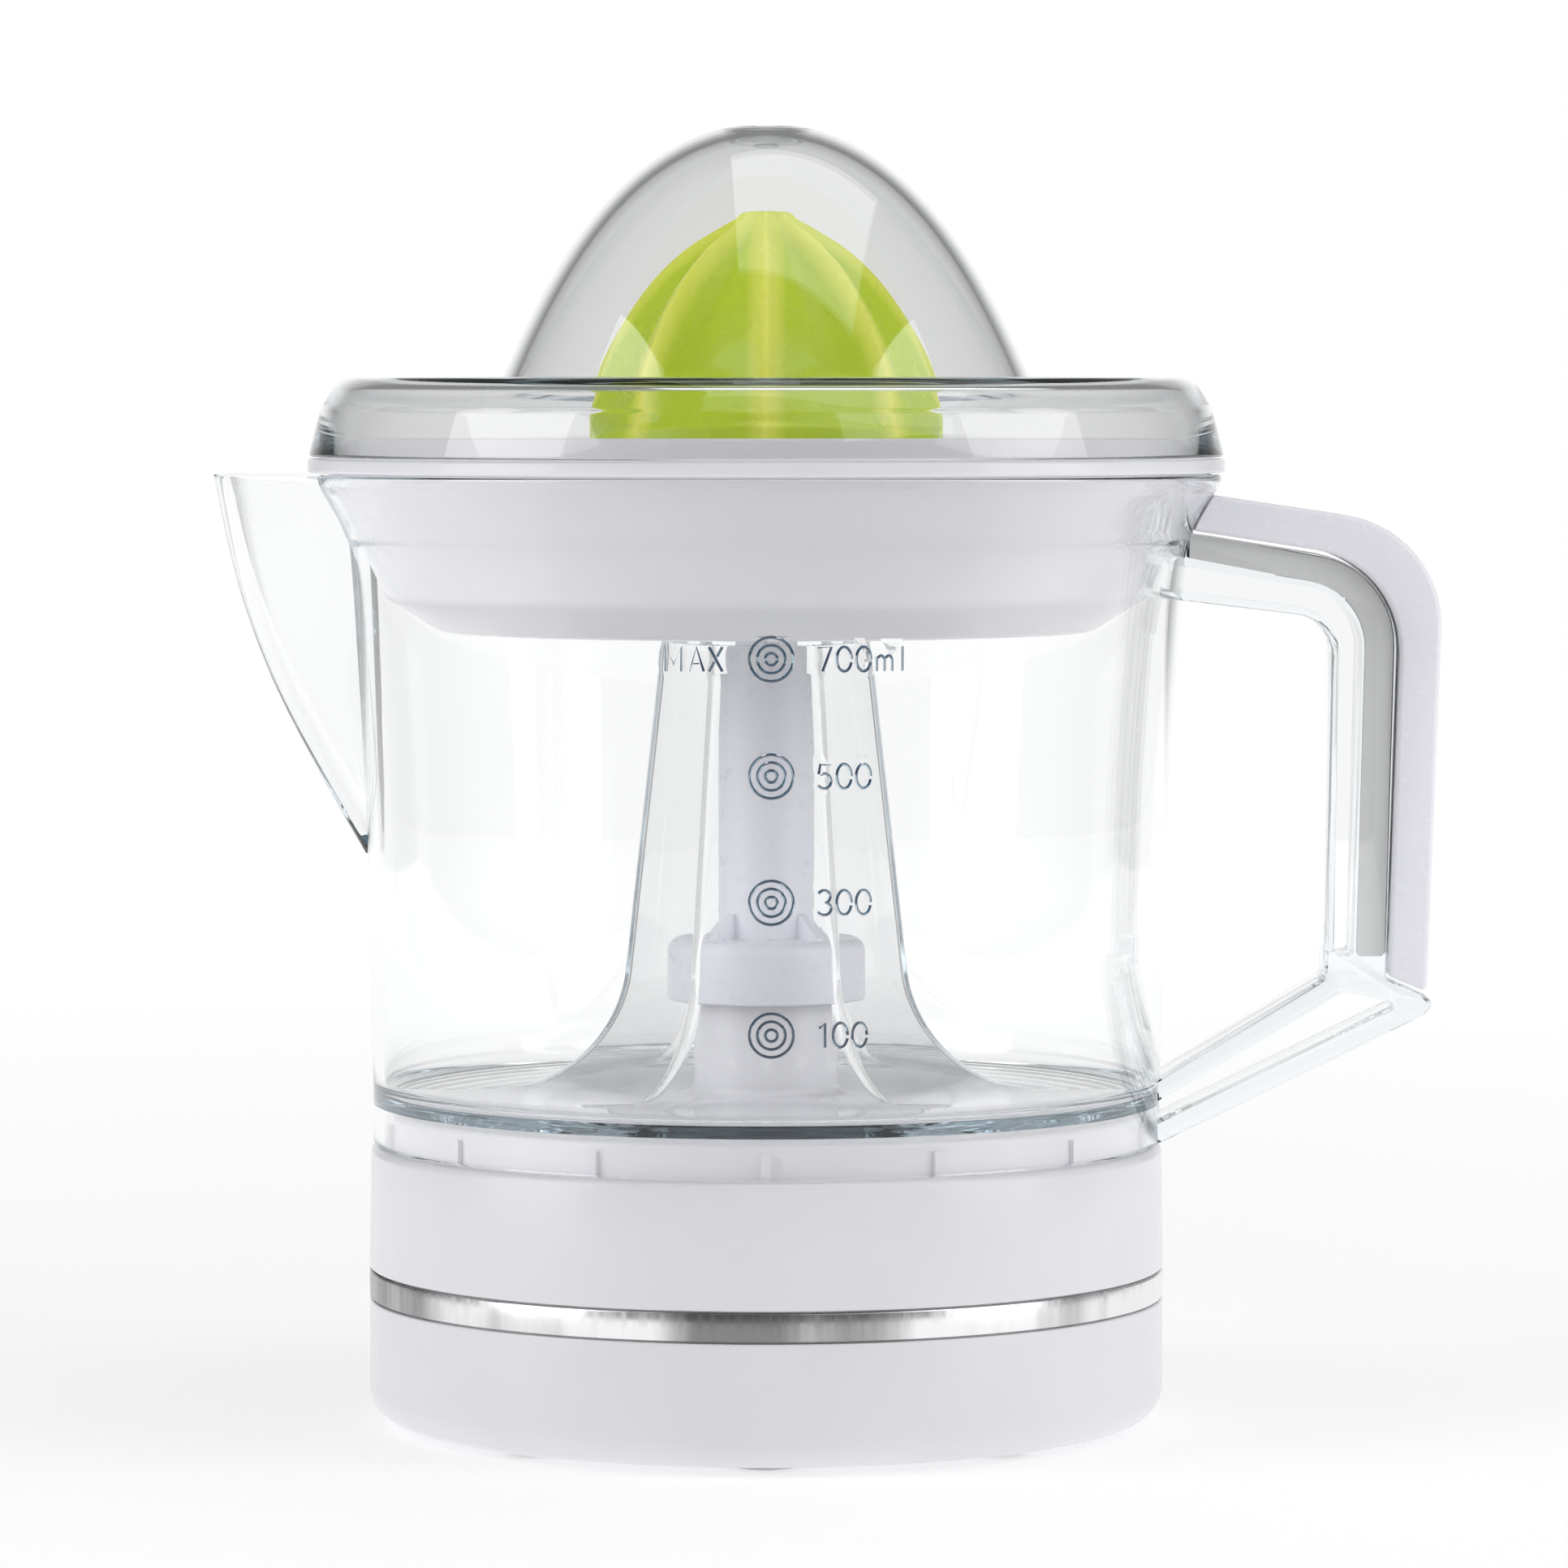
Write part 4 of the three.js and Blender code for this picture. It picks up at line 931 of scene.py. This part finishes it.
def lettering(text, left, bottom):
    """The strokes of a text, as one solid each."""
    marks = []
    for character in text:
        for path in GLYPHS[character]:
            marks.append(raised_line([
                (left + x * MARK_LETTER_HEIGHT, bottom + y * MARK_LETTER_HEIGHT) for x, y in path
            ]))
        left += GLYPH_WIDTHS.get(character, 0.74) * MARK_LETTER_HEIGHT
    return marks


def volume_marks():
    """Ring symbols with volume numerals beside them, moulded on the jug's front."""
    marks = []
    for text, height in MARK_HEIGHTS.items():
        for radius in MARK_RING_RADII:
            ring = [(MARK_RING_ACROSS + x, height + y) for x, y, _ in around_circle(28, radius)]
            marks.append(raised_line(ring, closed=True))
        marks += lettering(text, MARK_NUMERAL_LEFT, height - MARK_LETTER_HEIGHT / 2)
    marks += lettering("MAX", MARK_MAX_LEFT, MARK_HEIGHTS["700ml"] - MARK_LETTER_HEIGHT / 2)
    return marks


def handle_grip():
    """The white cover over the back of the handle frame."""
    outline = rounded([
        (60, 148.95), (106.5, 142.0, 17.5), (104.0, 69.4, 0.8), (97.9, 71.9, 0.8),
        (99.95, 136.8, 16), (60, 143.0),
    ], 14)
    grip = side_slab("handle_grip", outline, COVER_HALF_WIDTH)
    bevel(grip, 1.6, 4)
    return cut(grip, jug_core(-0.3))


# ---------------------------------------------------------------- strainer and drive


def strainer_bowl():
    """The strainer: a bowl with a hub in the middle and juice slots all round its floor."""
    bowl = revolve("strainer_bowl", rounded([
        (17.2, 126.0, 0.5), (51.5, 126.0, 5), (60.0, 131.3, 4), (65.2, 142, 8), (68.9, 149.3, 0.5),
        (69.2, 151.0, 0.2), (72.3, 151.0, 0.4), (72.3, 153.2, 0.5), (68, 153.2, 0.4),
        (68, 156.7, 0.5), (66.2, 156.7, 0.5), (66.2, 149, 1), (63.2, 142, 6), (58.4, 132.6, 4),
        (50.5, 127.8, 4), (19.2, 127.8, 1), (17.4, HUB_TOP, 1.2), (8.2, HUB_TOP, 0.3),
        (8.2, 140.3), (15.6, 140.3, 0.5),
    ]))
    half, side, rounding = SLOT_HALF_LENGTH, SLOT_HALF_WIDTH, SLOT_ROUNDING
    outline = rounded([
        (-half, -side, rounding), (half, -side, rounding), (half, side, rounding),
        (-half, side, rounding),
    ], 4)
    slots = []
    for x, y, angle in around_circle(STRAINER_SLOTS, SLOT_CIRCLE):
        slot = loft("tool", [[(px, py, height) for px, py in outline] for height in (125, 129)])
        turn_points(slot, angle)
        shift_points(slot, Vector((x, y, 0)))
        slots.append(slot)
    return cut(bowl, *slots)


def press_shaft():
    """The drive shaft, flatted above, with its gusseted collar over the tower's lip."""
    shaft = revolve("press_shaft", rounded([
        (0, COLLAR_BOTTOM), (COLLAR_RADIUS, COLLAR_BOTTOM, 0.4), (COLLAR_RADIUS, COLLAR_TOP, 2.2),
        (SHAFT_RADIUS, COLLAR_TOP, 0.5), (SHAFT_RADIUS, SHAFT_TOP, 1.5), (0, SHAFT_TOP),
    ]), 96)
    gussets = []
    for _, _, angle in around_circle(4, 0, 45):
        web = side_slab("tool", [(5, 77), (12, 77), (12, 77.8), (8, 81.5), (5, 81.5)], 0.7)
        turn_points(web, angle)
        gussets.append(web)
    join(shaft, *gussets)
    half = SPINDLE_SOCKET_HALF_WIDTH
    socket = keep_common(
        rod(SPINDLE_SOCKET_RADIUS, 60, SPINDLE_SOCKET_TOP),
        block(-half, half, -9, 9, 60, SPINDLE_SOCKET_TOP),
    )
    recess = rod(COLLAR_RECESS_RADIUS, 60, COLLAR_RECESS_TOP)
    right_of_flat = block(SHAFT_FLAT, 20, -20, 20, 119, 180)
    left_of_flat = block(-20, -SHAFT_FLAT, -20, 20, 119, 180)
    return cut(shaft, socket, recess, right_of_flat, left_of_flat)


def coil_spring():
    """The return spring, a coil of round wire."""
    steps = SPRING_TURNS * 32
    lowest = SPRING_BOTTOM + SPRING_WIRE
    highest = SPRING_TOP - SPRING_WIRE
    rings = []
    for step in range(steps + 1):
        share = step / steps
        turn = 2 * math.pi * SPRING_TURNS * share
        middle = lowest + (highest - lowest) * share
        ring = []
        for across, up, _ in around_circle(10, SPRING_WIRE):
            radius = SPRING_RADIUS + across
            ring.append((radius * math.cos(turn), radius * math.sin(turn), middle + up))
        rings.append(ring)
    return loft("coil_spring", rings)


def reamer_ring(radius, height, flute):
    """A ring with one crest per rib; the surface between two crests dips by the flute's depth."""
    points_per_rib = 24
    ring = []
    for index in range(REAMER_RIBS * points_per_rib):
        angle = 2 * math.pi * index / (REAMER_RIBS * points_per_rib)
        across_flute = math.sin(math.pi * (index % points_per_rib) / points_per_rib)
        dip = flute * across_flute ** 1.3
        ring.append(((radius - dip) * math.cos(angle), (radius - dip) * math.sin(angle), height))
    return ring


def ribbed_reamer():
    """The squeezing cone on its skirt; the ribs start at the shoulder and fade at the tip."""
    skirt = rounded([(29.4, 131.0), (28.7, 159.8, 0.4), (28.0, 160.3), CREST_LINE[0]], 4)[:-1]
    rings = [reamer_ring(radius, height, REAMER_SKIRT_FLUTE) for radius, height in skirt]
    for radius, height in curve_through(CREST_LINE, 6):
        flute = REAMER_FLUTE * min(1, 0.35 + (height - REAMER_SHOULDER) / 8, radius / 13)
        rings.append(reamer_ring(radius, height, flute))
    rings.append(reamer_ring(4.0, 191.5, 1.0))
    rings.append(reamer_ring(3.0, 191.8, 0.7))
    rings.append(reamer_ring(1.5, 191.5, 0.0))
    cone = loft("ribbed_reamer", rings)
    hollow = revolve("tool", rounded([
        (0, 130), (27.2, 130), (26, 156, 4), (15.5, 172, 5), (0, 175.5),
    ]), 96)
    cut(cone, hollow)
    join(cone, rod(10.6, HUB_TOP + 3.2, 177))
    half = SHAFT_SOCKET_HALF_WIDTH
    socket = keep_common(
        rod(SHAFT_SOCKET_RADIUS, HUB_TOP, SHAFT_SOCKET_TOP),
        block(-half, half, -9, 9, HUB_TOP, SHAFT_SOCKET_TOP),
    )
    cut(cone, socket)
    paint_crest_highlight(cone)
    return cone


def paint_crest_highlight(obj):
    """Stores how near each point is to a rib's crest, where the material paints its highlight."""
    crest = obj.data.attributes.new("crest", "FLOAT", "POINT")
    sector = 2 * math.pi / REAMER_RIBS
    for vertex, value in zip(obj.data.vertices, crest.data):
        x, y = (vertex.co.x - AXIS_X) / MM, vertex.co.y / MM
        away = math.atan2(y, x) % sector
        distance = math.hypot(x, y) * min(away, sector - away)
        # a sharp painted highlight line on each crest and a fainter, broader band beside it
        value.value = max(0, 1 - distance / 0.9, 0.75 - (distance / 4) ** 2)


# ---------------------------------------------------------------- lid


def dome_height(radius):
    """The height of the dome's outer face at this radius."""
    return LID_TOP - DOME_ROUNDNESS * radius ** 2 - DOME_STEEPNESS * radius ** 4


def dome_inside(radius):
    """A point on the dome's inner face, one wall in from the outer face at this radius."""
    slope = 2 * DOME_ROUNDNESS * radius + 4 * DOME_STEEPNESS * radius ** 3
    length = math.hypot(slope, 1)
    return radius - LID_WALL * slope / length, dome_height(radius) - LID_WALL / length


def dust_lid():
    """The lid: a dome on a flat ledge with a turned-down rim, and a dimple at the very top."""
    outside = [(radius, dome_height(radius)) for radius in evenly(LID_DOME_RADIUS, 6.2, 34)]
    inside = [dome_inside(radius) for radius in evenly(6, 41.8, 34)]
    ledge_inside = LID_LEDGE - LID_WALL
    return revolve("dust_lid", rounded([
        (0, 202.0), (1.6, 202.1), (3.6, 203.0), *inside,
        (65.9, ledge_inside, 2), (68.2, 160.4, 2), (70.2, LID_BOTTOM, 0.3),
        (72.2, LID_BOTTOM, 0.4), (70.3, 161.0, 3), (67.3, LID_LEDGE, 3.4), *outside,
        (5.4, LID_TOP - 0.9), (4.9, LID_TOP - 0.55), (0, LID_TOP - 0.45),
    ], 6))


# ---------------------------------------------------------------- stage


def add_camera():
    camera = bpy.data.objects.new("camera", bpy.data.cameras.new("camera"))
    camera.data.lens = CAMERA_LENS
    camera.data.sensor_width = 36
    camera.data.clip_end = 50
    camera.location = CAMERA_PLACE
    camera.rotation_euler = (math.radians(CAMERA_TILT_DEGREES), 0, 0)
    bpy.context.scene.collection.objects.link(camera)
    bpy.context.scene.camera = camera


def add_floor():
    """A pale floor that brightens away from the object, to run into the white behind it."""
    mesh = bpy.data.meshes.new("floor")
    size = FLOOR_HALF_SIZE
    corners = [(-size, -size, 0), (size, -size, 0), (size, size, 0), (-size, size, 0)]
    mesh.from_pydata(corners, [], [(0, 1, 2, 3)])
    floor = bpy.data.objects.new("floor", mesh)
    bpy.context.scene.collection.objects.link(floor)
    material, shader = new_material("pale floor")
    shader.inputs["Base Color"].default_value = (0.62, 0.62, 0.62, 1)
    shader.inputs["Roughness"].default_value = 0.9
    shader.inputs["Specular IOR Level"].default_value = 0.1
    shader.inputs["Emission Color"].default_value = (1, 1, 1, 1)
    nodes, links = tree_of(material)
    place = nodes.new("ShaderNodeTexCoord")
    distance = nodes.new("ShaderNodeVectorMath")
    distance.operation = "LENGTH"
    links.new(place.outputs["Object"], distance.inputs[0])
    glow = shader.inputs["Emission Strength"]
    vary(material, distance.outputs["Value"], 0.5, 0.8, glow, start=0.2, end=1.2)
    mesh.materials.append(material)


def add_softbox(name, location, width, height, watts):
    data = bpy.data.lights.new(name, "AREA")
    data.shape = "RECTANGLE"
    data.size = width
    data.size_y = height
    data.energy = watts
    light = bpy.data.objects.new(name, data)
    light.location = location
    towards = Vector(LOOK_AT) - Vector(location)
    light.rotation_euler = towards.to_track_quat("-Z", "Y").to_euler()
    bpy.context.scene.collection.objects.link(light)


def add_world():
    """A white wall behind the object, and grey surroundings that outline its clear parts."""
    world = bpy.data.worlds.new("studio")
    world.use_nodes = True
    nodes, links = tree_of(world)
    direction = nodes.new("ShaderNodeTexCoord")
    split = nodes.new("ShaderNodeSeparateXYZ")
    spread = nodes.new("ShaderNodeMapRange")
    spread.inputs["From Min"].default_value = -1
    links.new(direction.outputs["Generated"], split.inputs["Vector"])
    links.new(split.outputs["Y"], spread.inputs["Value"])
    sky = nodes["Background"].inputs["Color"]
    tint(world, spread.outputs["Result"], (0.26, 0.26, 0.26), (1, 1, 1), sky, 0.93, 0.988)
    bpy.context.scene.world = world


def set_stage():
    scene = bpy.context.scene
    scene.view_settings.view_transform = "Standard"
    scene.cycles.max_bounces = CLEAR_BOUNCES + 4
    scene.cycles.transmission_bounces = CLEAR_BOUNCES
    scene.cycles.glossy_bounces = CLEAR_BOUNCES
    add_camera()
    add_floor()
    add_world()
    add_softbox("softbox left", (-0.9, -0.35, 0.45), width=0.6, height=0.9, watts=4.0)
    add_softbox("softbox right", (0.9, -0.35, 0.45), width=0.6, height=0.9, watts=3.5)
    add_softbox("softbox top", (0.25, 0, 1.35), width=1.3, height=1.1, watts=5.2)
    add_softbox("softbox high right", (0.6, -0.9, 0.75), width=0.6, height=0.3, watts=0.8)


# ---------------------------------------------------------------- assembly

set_stage()
dress_cad_nodes()

WHITE = MATERIALS["white_plastic"]
CLEAR = MATERIALS["clear_plastic"]
LAVENDER = MATERIALS["lavender_plastic"]

finish_piece(housing_shell(), "base", WHITE, ["base_housing"])
finish_piece(tray_shell(), "base", WHITE, ["base_tray"])
finish_piece(steel_band(), "base", MATERIALS["trim_steel"], ["trim_band"])
for number, (x, y, _) in enumerate(around_circle(4, FOOT_CIRCLE), 1):
    finish_piece(rubber_foot(number, x, y), "base", PALE_RUBBER, [f"foot_{number}"])
jug = finish_piece(clear_jug(), "jug", CLEAR, ["jug_body", "jug_handle"])
frost_marks(jug)
finish_piece(rail_slab("handle_rail"), "jug", SHADED_RAIL)
finish_piece(handle_grip(), "jug", COVER_PLASTIC, ["handle_cover"])
finish_piece(strainer_bowl(), "strainer", WHITE, ["strainer"])
finish_piece(press_shaft(), "drive_shaft", LAVENDER, ["drive_shaft"])
spring = finish_piece(coil_spring(), "output_gear", MATERIALS["steel"], ["return_spring"])
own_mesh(spring)
finish_piece(ribbed_reamer(), "reamer", MATERIALS["green_plastic"], ["reamer"])
finish_piece(dust_lid(), "lid", SHADE_DIMMED_CLEAR, ["lid"])
